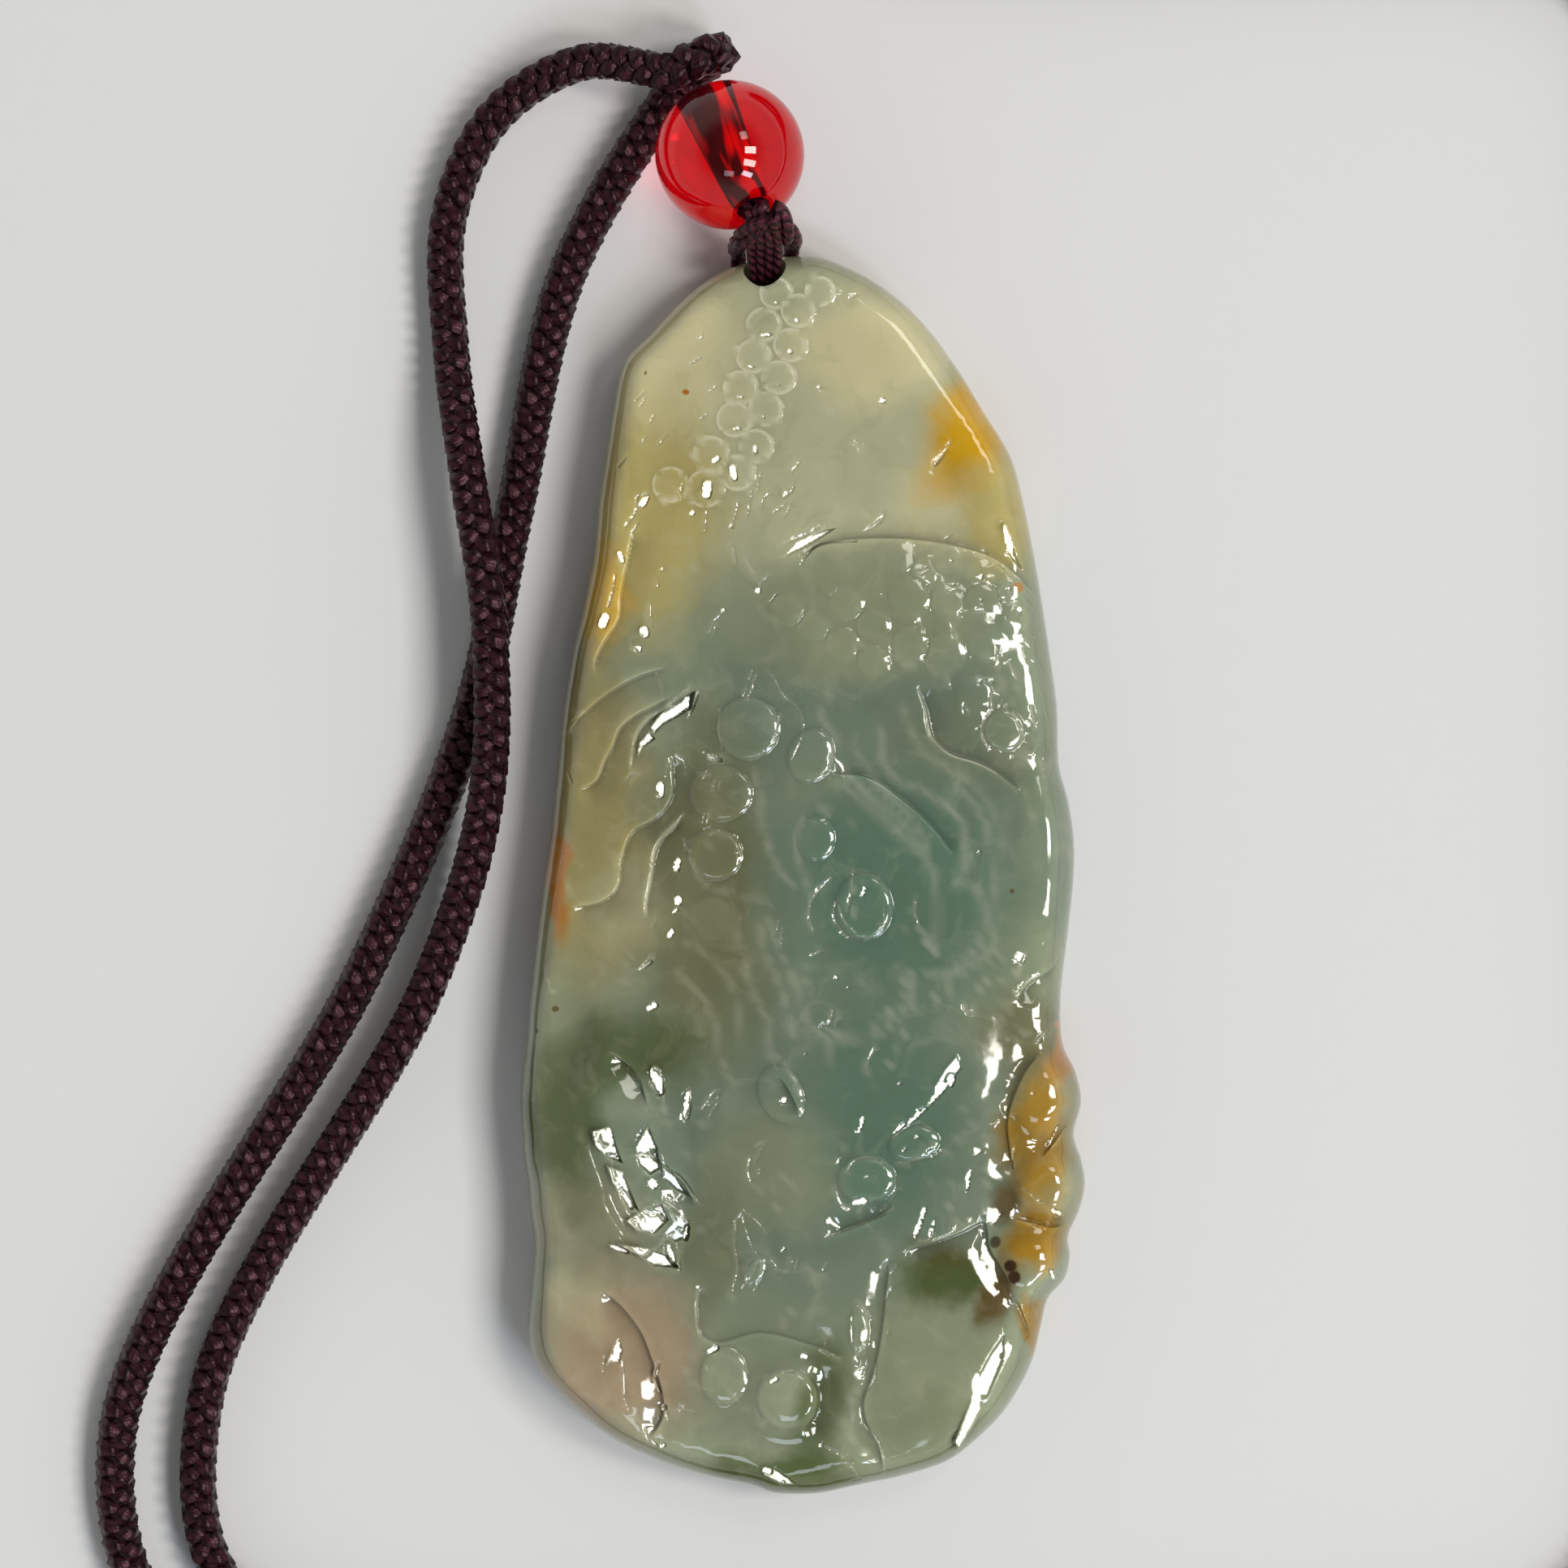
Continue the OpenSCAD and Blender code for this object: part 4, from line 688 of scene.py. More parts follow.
    (0.5, 0.35, (-5.9, -3.6, -4.6, -4.4, -3.6, -5.8, -3.2, -7.4, -3, -9.2),
     (-6.6, -5.2, -5.2, -6.4, -4.4, -8, -4.2, -9.6, -3.6, -10.8)),
    (0.5, 0.4, (-5.8, 0.9, -5.2, -0.2, -3.8, -0.9, -2.4, -1.1, -1.4, -1),
     (-1.6, -2.2, -1.3, -3.4, -0.6, -4.8, -0.2, -6),
     (-2, -2.6, -1.9, -3.8, -1.2, -5.4, -0.7, -6.8, -0.3, -8.4),
     (-3.1, -3.2, -2.9, -4.6, -2.5, -6, -1.8, -7.6, -1.6, -9, -0.6, -10.2, 0.1, -11.6),
     (0.3, -4.6, 0.1, -6, 0.4, -7.5, 1.4, -8.5, 3, -8.7, 4.6, -8.2, 5.9, -6.9, 6, -5.2)),
    (0.6, 0.35, (1.6, 9.6, 1.2, 8.4, 1.9, 7.4, 1.7, 6.2), (5.6, 9, 6.1, 7.4, 7.4, 6, 9, 5),
     (10.4, -0.6, 10.6, -2, 10.4, -3.2, 9.6, -4.6), (7.8, -5.6, 9.2, -4.9, 10.5, -4)),
    (0.6, 0.4, (-2.4, 5.4, -1.9, 3.6, -1.8, 2.2, -1.2, 0.6, -0.3, -0.6),
     (8.3, 4.7, 9.3, 3.8, 10, 2.6, 10.2, 1.4), (0.2, 3, -0.2, 1.8, 0.1, 0.6, 0.4, -0.6)),
    (0.7, 0.25, (7.6, 6, 9.2, 5, 10.2, 3.7, 10.6, 2.6, 10.6, 1, 10.2, -1)),
    (0.7, 0.35, (3, 6.6, 4.5, 4.6, 5.7, 3.4, 6.3, 2.7, 6.9, 1.5), (2.3, 4.9, 3.6, 3.8, 5.6, 1.9, 6.4, 1.1)),
    (0.7, 0.4, (4.3, 7.8, 4.4, 6.4, 5.1, 5.2, 6.5, 4.6, 8.2, 3.4, 8.9, 2.2, 8.8, 0.8, 8.5, -0.4),
     (2.2, 6, 3, 5, 4.6, 3.6, 6, 2.2, 6.9, 0.8, 7.3, -0.6, 7.4, -2.2, 7.3, -3.6),
     (8.2, -0.6, 9.3, -0.6, 9.9, -1.6, 9.8, -3, 9, -4.4, 7.5, -5.4)),
)
# Strokes whose width changes. Columns: strength, then for each stroke x, y and width of its points.
SWELLING_STROKES = (
    (0.5, (5, -13.9, 0.08, 5.6, -13.45, 0.16, 6.4, -13.1, 0.1)),
    (0.7, (-7.4, -15.3, 0.1, -6.4, -16, 0.26, -5.75, -16.8, 0.2, -5.25, -17.5, 0.1)),
    (0.8, (-9.3, -5.3, 0.12, -8.6, -5, 0.24, -7.9, -4.5, 0.24, -7.6, -4.3, 0.1)),
    (0.9, (3.3, 12.6, 0.2, 2.95, 12, 0.08),
     (2.9, 0.4, 0.08, 2.75, -0.8, 0.14, 2.55, -1.5, 0.28, 2.5, -2, 0.12),
     (4.9, -19.95, 0.1, 4.55, -20.7, 0.26, 4.25, -21.5, 0.12), (-9.4, -25.9, 0.24, -9.35, -27, 0.16, -9.3,
      -27.9, 0.14, -8.9, -28.7, 0.12, -8.4, -29.3, 0.14, -8, -30.2, 0.1)),
    (1, (2.45, 30.3, 0.08, 2.75, 30.95, 0.2, 3.25, 31.15, 0.1),
     (8.2, 23.4, 0.14, 7.8, 22.8, 0.26, 7.2, 22, 0.26, 7, 21.1, 0.1),
     (3.5, 18.4, 0.1, 4.2, 18.85, 0.3, 4.6, 19.5, 0.24, 4.85, 20, 0.14),
     (-0.75, 17.75, 0.1, 0.4, 18.25, 0.28, 1.4, 18.65, 0.16, 1.9, 19.2, 0.12),
     (8.1, 13.45, 0.1, 8.35, 12.85, 0.2, 8.75, 12.35, 0.1),
     (-5.85, 10, 0.12, -6.4, 9.4, 0.26, -7.2, 8.9, 0.26, -8, 8.4, 0.2, -8.6, 7.7, 0.2, -8.85, 7, 0.1),
     (-5.05, 6.55, 0.16, -4.6, 6.25, 0.3, -4, 6.05, 0.14),
     (-9.3, 4.95, 0.08, -8.95, 5.4, 0.2, -8.45, 5.45, 0.18), (-6.15, 3.3, 0.12, -6.7, 2.6, 0.26, -7.3, 2,
      0.24, -7.7, 1.2, 0.2, -7.85, 0, 0.2, -8.05, -1, 0.22, -8.2, -2.2, 0.14), (1.7, -0.1, 0.14, 1.3, -0.45,
      0.3, 0.85, -0.9, 0.3, 0.55, -1.5, 0.2, 0.5, -2.3, 0.26, 0.72, -2.85, 0.16), (6.25, -1.2, 0.1, 6.1,
      -1.85, 0.3, 6.3, -2.4, 0.14, 6.5, -3.2, 0.14, 7, -3.9, 0.12, 7.6, -4.15, 0.08),
     (12.05, -4.2, 0.26, 11.75, -4.9, 0.16, 11.3, -5.6, 0.16, 10.5, -7.25, 0.12),
     (5.2, -4.65, 0.16, 5.45, -5.1, 0.2, 5.6, -5.6, 0.14, 5.68, -6.05, 0.16), (8.5, -6.35, 0.22, 8.75, -6.9,
      0.2, 9.15, -7.3, 0.24, 9.35, -6.6, 0.22, 9.6, -5.95, 0.26, 10.2, -5.2, 0.26, 11.1, -4.1, 0.16),
     (4.15, -8.35, 0.1, 4.05, -9, 0.2, 3.6, -10, 0.2, 3.75, -11.1, 0.12), (3.6, -26, 0.14, 3.45, -26.7, 0.3,
      3.2, -27.4, 0.26, 2.75, -28.1, 0.26, 2.5, -28.9, 0.2, 2.5, -29.6, 0.24, 3, -30.4, 0.26, 3.6, -30.9,
      0.24, 4.25, -31.3, 0.1)),
)

# Slopes that the flat cuts and the long sides of the strokes lean with: to the right and a little
# down for most, and these other ways for strokes that run that way themselves
LEANS = np.array([(0.283, -0.148), (0.262, -0.310), (0.288, 0.036), (0.190, 0.228), (0.0, -0.285)])
# The slopes fan out a little from this place, by so much a millimetre
LEAN_MIDDLE = (-0.8, 4.9)
LEAN_FAN = 0.0018

# Slanted hole, and the groove in the back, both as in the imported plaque
HOLE_X = -1.85
HOLE_TOP = (HOLE_X, 33.3, 4.6)
HOLE_SLANT = 48
HOLE_LENGTH = 16
HOLE_RADIUS = 1.15
HOLE_SIDES = 64
GROOVE_RADIUS = 5
GROOVE_DEPTH = 1.5
GROOVE_FROM = 27.9
GROOVE_LENGTH = 8
GROOVE_SIDES = 160
BACK_SHRINK = (1 - 1.1 / 14, 1 - 1.1 / HALF_HEIGHT)

GRID_STEP = 0.05
# Coarsest squares of the front's mesh, in steps of the grid; finer ones halve down to one step
COARSE = 8
GRID_FROM = (-15.6, -33.6)
GRID_CELLS = (632, 1344)
# Distance in from the rim at which the front's own mesh ends and the rounded edge begins
EDGE_INSET = 0.3
RIM_STEP = 0.15
# Steps of the outline between two of its rows
OUTLINE_PARTS = 16
# Further than any place lies from a line
FAR = 1e9
# Most points that the front may have, the bend that needs close points at first, and how much that
# grows each time until the points are few enough
POINT_BUDGET = 87000
LEAST_BEND = 0.002
BEND_GROWTH = 1.1
# Height that a fully frosted place counts for, so that frosted lines, which are partly a painted highlight,
# get close points too
FROST_AND_HIGHLIGHT_HEIGHT = 0.02
# Room between the ring where the front begins and the first of its grid places
RING_ROOM = 0.07
# Rings of the rounded edge, by how far in from the rim each lies
EDGE_RINGS = (0.2, 0.12, 0.06, 0.02, 0.0)
# Rings under the rim. Columns: share of the way in to the back's outline, share of the rim's height.
BACK_RINGS = ((0.06, 0.85), (0.2, 0.62), (0.42, 0.36), (0.68, 0.14), (0.88, 0.03), (1, 0))


def plaque_outline():
    """The outline's close rows, and points round the plaque at even steps, anticlockwise from its
    lowest point."""
    rows = np.array(EDGE_ROWS)
    side = curve(np.vstack([rows[:1], rows, rows[-1:]]), OUTLINE_PARTS)
    ring = np.vstack([side[:, [2, 0]], side[::-1, [1, 0]]])
    closed = np.vstack([ring, ring[:1]])
    along = run_lengths(closed)
    even = np.linspace(0, along[-1], round(along[-1] / RIM_STEP), endpoint=False)
    return side, np.stack([np.interp(even, along, closed[:, k]) for k in (0, 1)], axis=1)


def within_ring(x, y, ring):
    """Whether each place lies inside a closed line."""
    inside = np.zeros(np.shape(x), bool)
    for a, b in zip(ring, np.roll(ring, -1, 0)):
        crosses = (a[1] > y) != (b[1] > y)
        inside ^= crosses & (x < a[0] + (y - a[1]) * (b[0] - a[0]) / ((b[1] - a[1]) or 1))
    return inside


def from_stretch(x, y, a, b):
    """Where along a straight stretch from a to b each place lies, as a share, and how far off."""
    (ax, ay), (wide, high) = np.moveaxis(a, -1, 0), np.moveaxis(b - a, -1, 0)
    t = np.clip(((x - ax) * wide + (y - ay) * high) / (wide * wide + high * high), 0, 1)
    return t, np.hypot(x - ax - t * wide, y - ay - t * high)


def rim_distance(x, y, ring):
    """Distance from each place to the outline."""
    away = np.full(x.shape, FAR)
    near = np.zeros(x.shape, int)
    for i, (px, py) in enumerate(ring):
        d = (x - px) ** 2 + (y - py) ** 2
        closer = d < away
        away[closer] = d[closer]
        near[closer] = i
    # The nearest place is on one of the two stretches that meet at the nearest point
    after = np.roll(ring, -1, axis=0)
    return np.minimum(*(from_stretch(x, y, ring[k], after[k])[1] for k in (near, near - 1)))


class Relief:
    """Heights of the plaque's front over a fine grid, and how much each place is cut."""

    # Steps of the coarse grid on which the distance to the rim is found, in fine ones
    RIM_GRID = 4
    # Rise of the rounded edge, slopes just inside it and at the crown, and how far the first eases off
    EDGE_RISE = 2.5
    BEVEL_SLOPE = 0.11
    BEVEL_REACH = 7.0
    CROWN_SLOPE = 0.04
    # Distance in from the rim at which the crown has its full height, and step of its profile
    CROWN_IN = 12
    PROFILE_STEP = 0.01
    # The top end is thinner by the first of these, from the second height up and over the third
    THIN_TOP = (0.3, 14, 18)
    # The edge is ground by hand, so its inner line wanders by this much
    WANDER = 0.04
    # Distance from the rim over which the broad forms rise. The carving starts so far in from the
    # rim, and is whole over so much more.
    FORMS_OVER = 1.6
    CARVED_IN, CARVED_OVER = 0.2, 0.9
    # Steps between two points of a terrace's line and of a stroke
    TERRACE_PARTS, STROKE_PARTS = 6, 5
    # A terrace starts to fall at its line and is at its lowest this far off
    TERRACE_LIP = 0.14
    # Width of a dome's flank, and half width, slope and place of its moat
    DOME_FLANK = 0.5
    DOME_MOAT = (0.09, 0.3, 0.1)
    # Widths of a scale's edge and flank, and half width and slope of its foot
    SCALE_EDGE = 0.12
    SCALE_FLANK = 0.6
    SCALE_FOOT = (0.08, 0.26)
    # Rise of a coin and width of its edge. Then half width, depth and frost of its cut ring, whose pale line
    # is partly a painted highlight.
    COIN_RISE = 0.05
    COIN_EDGE = 0.12
    COIN_RING = 0.10
    COIN_CUT = 0.03
    COIN_FROST_AND_HIGHLIGHT = 2.2
    # Depth of the flat cuts, widths of the edges of a small and a large one, and height and spacing of
    # the faint marks that the wheel left on them
    FLAT_DEPTH = 0.03
    FACET_EDGE, PLANE_EDGE = 0.03, 0.09
    WHEEL_MARKS = (0.0022, 0.33)
    # How far off its middle a stroke's lowest line lies, in half widths, what a stroke's width gains,
    # and the strength under which it is soft
    LONG = 0.6
    WIDER = np.array([0, 0, 0.04])
    SOFT = 0.46
    # Depth of a soft stroke in half widths, and its frost, which is partly a painted highlight
    SOFT_DEPTH = 0.25
    SOFT_FROST_AND_HIGHLIGHT = 1.5
    # Least slope of a crisp stroke, what a flatter one counts as astray, and what a later lean has to
    # be better by
    LEAST_SLOPE = 0.14
    TOO_FLAT = 0.3
    LATER = 0.02
    # Painted shade of close and broad hollows, and painted light on ridges. Columns: grid places over which
    # the ground is smoothed, those over which it is smoothed again to compare with, what a millimetre counts
    # for, most that they come to.
    HOLLOW_SHADES = ((0, 4, 10, 0.45), (14, 20, 3.5, 0.6))

    def __init__(self, jade, ring):
        x, y = (GRID_FROM[k] + GRID_STEP * np.arange(GRID_CELLS[k] + 1) for k in (0, 1))
        self.gx, self.gy = np.meshgrid(x, y)
        coarse = np.meshgrid(x[::self.RIM_GRID], y[::self.RIM_GRID])
        self.rim = self.blurred(self.spread(rim_distance(*coarse, ring), self.RIM_GRID), self.RIM_GRID)
        self.strength = jade.relief
        self.height = self.crown(jade) + self.forms()
        self.cut = np.zeros_like(self.height)
        self.frost_and_highlight = np.zeros_like(self.height)
        self.inner = ease((self.rim - self.CARVED_IN) / self.CARVED_OVER)

    @staticmethod
    def spread(table, factor):
        """A coarse table brought to the fine grid by straight lines between its places."""
        for axis in (0, 1):
            count = table.shape[axis]
            places = np.arange((count - 1) * factor + 1) / factor
            low = np.minimum(places.astype(int), count - 2)
            part = np.expand_dims(places - low, 1 - axis)
            table = np.take(table, low, axis) * (1 - part) + np.take(table, low + 1, axis) * part
        return table

    @staticmethod
    def blurred(table, reach):
        """A table smoothed over reach places each way."""
        for axis in (0, 1):
            total = table.copy()
            for k in range(1, reach + 1):
                total += np.roll(table, k, axis) + np.roll(table, -k, axis)
            table = total / (2 * reach + 1)
        return table

    def crown(self, jade):
        """Rise of the plain front: a rounded edge, a bevel and a slow crown, thinner at the top end."""
        reach = jade.rim_reach / MM
        top = (jade.thickness - jade.rim_height) / MM
        step = self.PROFILE_STEP
        d = np.arange(0, 20, step)
        rise = self.EDGE_RISE * np.sqrt(1 - np.clip(1 - d / reach, 0, 1) ** 2)
        # Inside the rounded edge the front goes on at a slope that eases off towards the crown
        turn = int(np.argmax(np.diff(rise) / step < self.BEVEL_SLOPE))
        slope = self.CROWN_SLOPE + (self.BEVEL_SLOPE - self.CROWN_SLOPE) * (
            1 - ease((d[turn:] - d[turn]) / self.BEVEL_REACH))
        rise[turn:] = rise[turn] + np.append(0, np.cumsum(slope[:-1])) * step
        rise /= rise[int(self.CROWN_IN / step)]
        share, start, over = self.THIN_TOP
        thin = 1 - share * ease((self.gy - start) / over)
        wander = (np.sin(1.1 * self.gy + 0.8 * self.gx) + np.sin(0.63 * self.gy - 0.9 * self.gx + 1.0)
                  + 0.6 * np.sin(2.3 * self.gy + 2.0))
        rim = self.rim + self.WANDER * wander * ease(self.rim - 0.3)
        return jade.rim_height / MM + top * thin * np.interp(rim, d, rise)

    def forms(self):
        """Rise of the broad forms."""
        total = np.zeros_like(self.gx)
        for x, y, wide, high, turn, rise in FORMS:
            rows, cols, u, v = self.turned(x, y, max(wide, high), turn)
            s = np.clip(1 - (u / wide) ** 2 - (v / high) ** 2, 0, None)
            total[rows, cols] += rise * s * s * (3 - 2 * s)
        return self.strength * ease(self.rim / self.FORMS_OVER) * total

    def window(self, low, high):
        """Slices of the grid that cover a box, and the places in it."""
        cols, rows = (slice(max(0, int((low[k] - GRID_FROM[k]) / GRID_STEP)),
                            min(GRID_CELLS[k], int((high[k] - GRID_FROM[k]) / GRID_STEP) + 1) + 1)
                      for k in (0, 1))
        return rows, cols, self.gx[rows, cols], self.gy[rows, cols]

    def turned(self, x, y, reach, turn):
        """A window round a place, with distances along axes that are turned by some degrees."""
        rows, cols, gx, gy = self.window((x - reach, y - reach), (x + reach, y + reach))
        c, s = math.cos(math.radians(turn)), math.sin(math.radians(turn))
        return rows, cols, (gx - x) * c + (gy - y) * s, (gy - y) * c - (gx - x) * s

    def lower_terraces(self):
        """Let the ground fall away on one side of each terrace line."""
        for drop, reach, *numbers in TERRACES:
            line = curve_through(np.reshape(numbers, (-1, 2)), self.TERRACE_PARTS)
            rows, cols, gx, gy = self.window(line.min(0) - reach - 0.2, line.max(0) + reach + 0.2)
            best = np.full(gx.shape, FAR)
            side = np.zeros(gx.shape)
            place = np.zeros(gx.shape)
            lengths = run_lengths(line)
            for a, b, start, end in zip(line, line[1:], lengths, lengths[1:]):
                t, d = from_stretch(gx, gy, a, b)
                left = (b - a)[0] * (gy - a[1]) - (b - a)[1] * (gx - a[0])
                closer = d < best
                best[closer] = d[closer]
                side[closer] = np.sign(left[closer])
                place[closer] = (start + t * (end - start))[closer]
            ends = ease(np.minimum(place, lengths[-1] - place))
            fall = ease(best / self.TERRACE_LIP) * (1 - ease((best - 0.1) / reach))
            low = np.where(side > 0, drop * ends * fall, 0)
            self.height[rows, cols] -= self.strength * low * self.inner[rows, cols]

    def raise_domes(self):
        """Raise the domes, with a thin moat round each."""
        half, slope, place = self.DOME_MOAT
        for x, y, wide, high, turn, rise in DOMES:
            rows, cols, u, v = self.turned(x, y, max(wide, high) * 1.3, turn)
            out = (np.hypot(u / wide, v / high) - 1) * math.sqrt(wide * high)
            dome = rise * ease(0.5 - out / self.DOME_FLANK)
            moat = slope * np.clip(half - np.abs(out - place), 0, None)
            self.height[rows, cols] += self.strength * (dome - moat) * self.inner[rows, cols]

    def lay_scales(self):
        """Lay the scales in rows, the first over the next."""
        covered = np.zeros_like(self.height)
        half, slope = self.SCALE_FOOT
        for x, y, radius, rise in SCALES:
            rows, cols, u, v = self.turned(x, y, radius * 1.2, 0)
            out = np.hypot(u, v) - radius
            free = 1 - covered[rows, cols]
            body = rise * ease(0.5 - out / self.SCALE_FLANK)
            foot = slope * np.clip(half - np.abs(out), 0, None)
            self.height[rows, cols] += self.strength * free * (body - foot) * self.inner[rows, cols]
            self.raise_to(covered, rows, cols, ease(0.5 - out / self.SCALE_EDGE))

    def lay_coins(self):
        """Lay the string of coins: flat discs with a cut ring just inside their edge."""
        covered = np.zeros_like(self.height)
        for x, y, radius in COINS:
            rows, cols, u, v = self.turned(x, y, radius * 1.25, 0)
            out = np.hypot(u, v)
            free = 1 - covered[rows, cols]
            disc = ease((radius + self.COIN_EDGE / 2 - out) / self.COIN_EDGE)
            ring = np.clip(1 - np.abs(out - radius + self.COIN_RING) / self.COIN_RING, 0, 1)
            self.height[rows, cols] += free * self.strength * self.COIN_RISE * disc
            self.raise_to(self.cut, rows, cols, free * self.COIN_CUT * ring)
            # Pale ring of frost, partly a painted highlight
            self.raise_to(self.frost_and_highlight, rows, cols, free * self.COIN_FROST_AND_HIGHLIGHT * ring)
            self.raise_to(covered, rows, cols, disc)

    @staticmethod
    def raise_to(table, rows, cols, values):
        """Bring part of a table up to some values where they are higher."""
        table[rows, cols] = np.maximum(table[rows, cols], values)

    @staticmethod
    def leans(x, y):
        """The slopes that cuts at a place may lean with."""
        return LEANS - LEAN_FAN * np.array([x - LEAN_MIDDLE[0], y - LEAN_MIDDLE[1]])

    def cut_facets(self):
        """Cut the small flat faces, each leaning the same way."""
        for x, y, wide, high, turn in FACETS:
            rows, cols, u, v = self.turned(x, y, max(wide, high) * 1.3, turn)
            out = (np.abs(u / wide) ** 3 + np.abs(v / high) ** 3) ** (1 / 3)
            self.flatten(rows, cols, x, y, ease((1 - out) * min(wide, high) / self.FACET_EDGE))

    def cut_planes(self):
        """Cut the larger flat faces, drawn by their corners."""
        for lean, *numbers in PLANES:
            p = np.reshape(numbers, (-1, 2))
            rows, cols, gx, gy = self.window(p.min(0), p.max(0))
            away = np.min([from_stretch(gx, gy, a, b)[1] for a, b in zip(p, np.roll(p, -1, 0))], axis=0)
            mask = ease(np.where(within_ring(gx, gy, p), away, 0) / self.PLANE_EDGE)
            self.flatten(rows, cols, *p.mean(0), mask, lean)

    def flatten(self, rows, cols, x, y, mask, lean=0):
        """Bring a masked part of the front to a flat that leans, with faint marks of the wheel."""
        gx, gy = self.gx[rows, cols] - x, self.gy[rows, cols] - y
        slope = self.leans(x, y)[lean]
        middle = self.sample(self.height, np.array([x]), np.array([y]))[0]
        high, spacing = self.WHEEL_MARKS
        marks = high * np.sin((gx * 1.2 + gy * 0.45) * 2 * math.pi / spacing)
        plane = middle - self.FLAT_DEPTH - slope[0] * gx - slope[1] * gy + marks
        self.height[rows, cols] = self.height[rows, cols] * (1 - mask) + plane * mask
        self.cut[rows, cols] *= 1 - mask

    def cut_strokes(self):
        """Cut the strokes: grooves whose lowest line lies off the middle, away from the lean."""
        strokes = [(strength, [(*p, width) for p in np.reshape(numbers, (-1, 2))])
                   for width, strength, *same in STROKES for numbers in same]
        strokes += [(strength, np.reshape(numbers, (-1, 3)))
                    for strength, *same in SWELLING_STROKES for numbers in same]
        falls = np.gradient(self.blurred(self.height, 3), GRID_STEP)
        for strength, points in strokes:
            line = curve_through(points, self.STROKE_PARTS) + self.WIDER
            for a, b in zip(line[:-1], line[1:]):
                self.cut_stretch(a, b, strength, falls)

    def cut_stretch(self, a, b, strength, falls):
        """Cut one short straight stretch of a stroke, from a to b. Each has x, y and width."""
        reach = max(a[2], b[2]) / 2
        ab = (b - a)[:2]
        length = math.hypot(*ab)
        if length == 0:
            return
        rows, cols, gx, gy = self.window(np.minimum(a, b) - reach, np.maximum(a, b) + reach)
        along = ((gx - a[0]) * ab[0] + (gy - a[1]) * ab[1]) / length
        over = np.maximum(np.maximum(-along, along - length), 0)
        across = ((gx - a[0]) * ab[1] - (gy - a[1]) * ab[0]) / length
        half = (a[2] + (b[2] - a[2]) * np.clip(along / length, 0, 1)) / 2
        inside = np.clip(half * half - over * over, 1e-9, None) ** 0.5
        q = across / inside
        if strength < self.SOFT:
            # A soft groove with a round floor
            shape = np.clip(1 - q * q, 0, 1) * inside / half
            depth = strength * self.SOFT_DEPTH * half
            # Pale floor of frost, partly a painted highlight
            frost_and_highlight = self.SOFT_FROST_AND_HIGHLIGHT * strength * shape ** 3
        else:
            # A crisp one: its long side gets the whole slope that the cut leans with
            x, y = (a + b)[:2] / 2
            ground = np.array([self.sample(table, np.array([x]), np.array([y]))[0]
                               for table in falls[::-1]])
            away = np.array([ab[1], -ab[0]]) / length
            wanted = self.leans(x, y) + ground
            steep = wanted @ away
            astray = np.abs(wanted @ ab) / length + self.TOO_FLAT * (np.abs(steep) < self.LEAST_SLOPE)
            best = int(np.argmin(astray + self.LATER * np.arange(len(LEANS))))
            low = math.copysign(self.LONG, steep[best])
            shape = np.where(q < low, (q + 1) / (1 + low), (1 - q) / (1 - low))
            shape = np.clip(shape, 0, 1) * inside / half
            depth = max(self.LEAST_SLOPE, abs(steep[best])) * (1 + self.LONG) * half
            # Pale frost along the stroke, partly a painted highlight
            frost_and_highlight = strength * shape
        self.raise_to(self.cut, rows, cols, depth * shape)
        self.raise_to(self.frost_and_highlight, rows, cols, frost_and_highlight)

    def finished(self):
        """Height of the front with all its carving."""
        return self.height - self.strength * self.cut * self.inner

    def hollow_shade(self, height):
        """How much each place lies below the ground round it, near and further off, which sets the painted
        shade of hollows and the painted light of ridges.
        """
        total = 0
        for own, beyond, share, most in self.HOLLOW_SHADES:
            ground = self.blurred(self.blurred(height, own), own)
            deep = self.blurred(self.blurred(ground, beyond), beyond) - ground
            total = total + np.clip(share * deep, -most, most)
        return total * self.inner

    def sample(self, table, x, y):
        """A table's values at any places, by straight lines between the grid's."""
        fx = np.clip((x - GRID_FROM[0]) / GRID_STEP, 0, GRID_CELLS[0] - 1e-6)
        fy = np.clip((y - GRID_FROM[1]) / GRID_STEP, 0, GRID_CELLS[1] - 1e-6)
        i, j = fx.astype(int), fy.astype(int)
        u, v = fx - i, fy - j
        return ((table[j, i] * (1 - u) + table[j, i + 1] * u) * (1 - v)
                + (table[j + 1, i] * (1 - u) + table[j + 1, i + 1] * u) * v)


def kept_places(height, inside):
    """Grid places that the front's mesh needs: close ones where the carving bends most."""
    levels = []
    size = COARSE
    while size > 1:
        corner = height[::size, ::size]
        a, b, c, d = corner[:-1, :-1], corner[:-1, 1:], corner[1:, :-1], corner[1:, 1:]
        worst = np.zeros(a.shape)
        for j in range(0, size + 1, max(1, size // 4)):
            for i in range(0, size + 1, max(1, size // 4)):
                u, v = i / size, j / size
                flat = (a * (1 - u) + b * u) * (1 - v) + (c * (1 - u) + d * u) * v
                rows = slice(j, j + (a.shape[0] - 1) * size + 1, size)
                cols = slice(i, i + (a.shape[1] - 1) * size + 1, size)
                worst = np.maximum(worst, np.abs(height[rows, cols] - flat))
        levels.append((size, worst / (size * GRID_STEP)))
        size //= 2
    limit = LEAST_BEND
    while True:
        keep = np.zeros(height.shape, bool)
        keep[::COARSE, ::COARSE] = True
        split = None
        for size, bend in levels:
            wanted = bend > limit
            if split is not None:
                wanted &= np.repeat(np.repeat(split, 2, 0), 2, 1)
            split = wanted
            js, is_ = np.nonzero(wanted)
            for j in (0, size // 2, size):
                for i in (0, size // 2, size):
                    keep[js * size + j, is_ * size + i] = True
        keep &= inside
        if keep.sum() <= POINT_BUDGET:
            return keep
        limit *= BEND_GROWTH


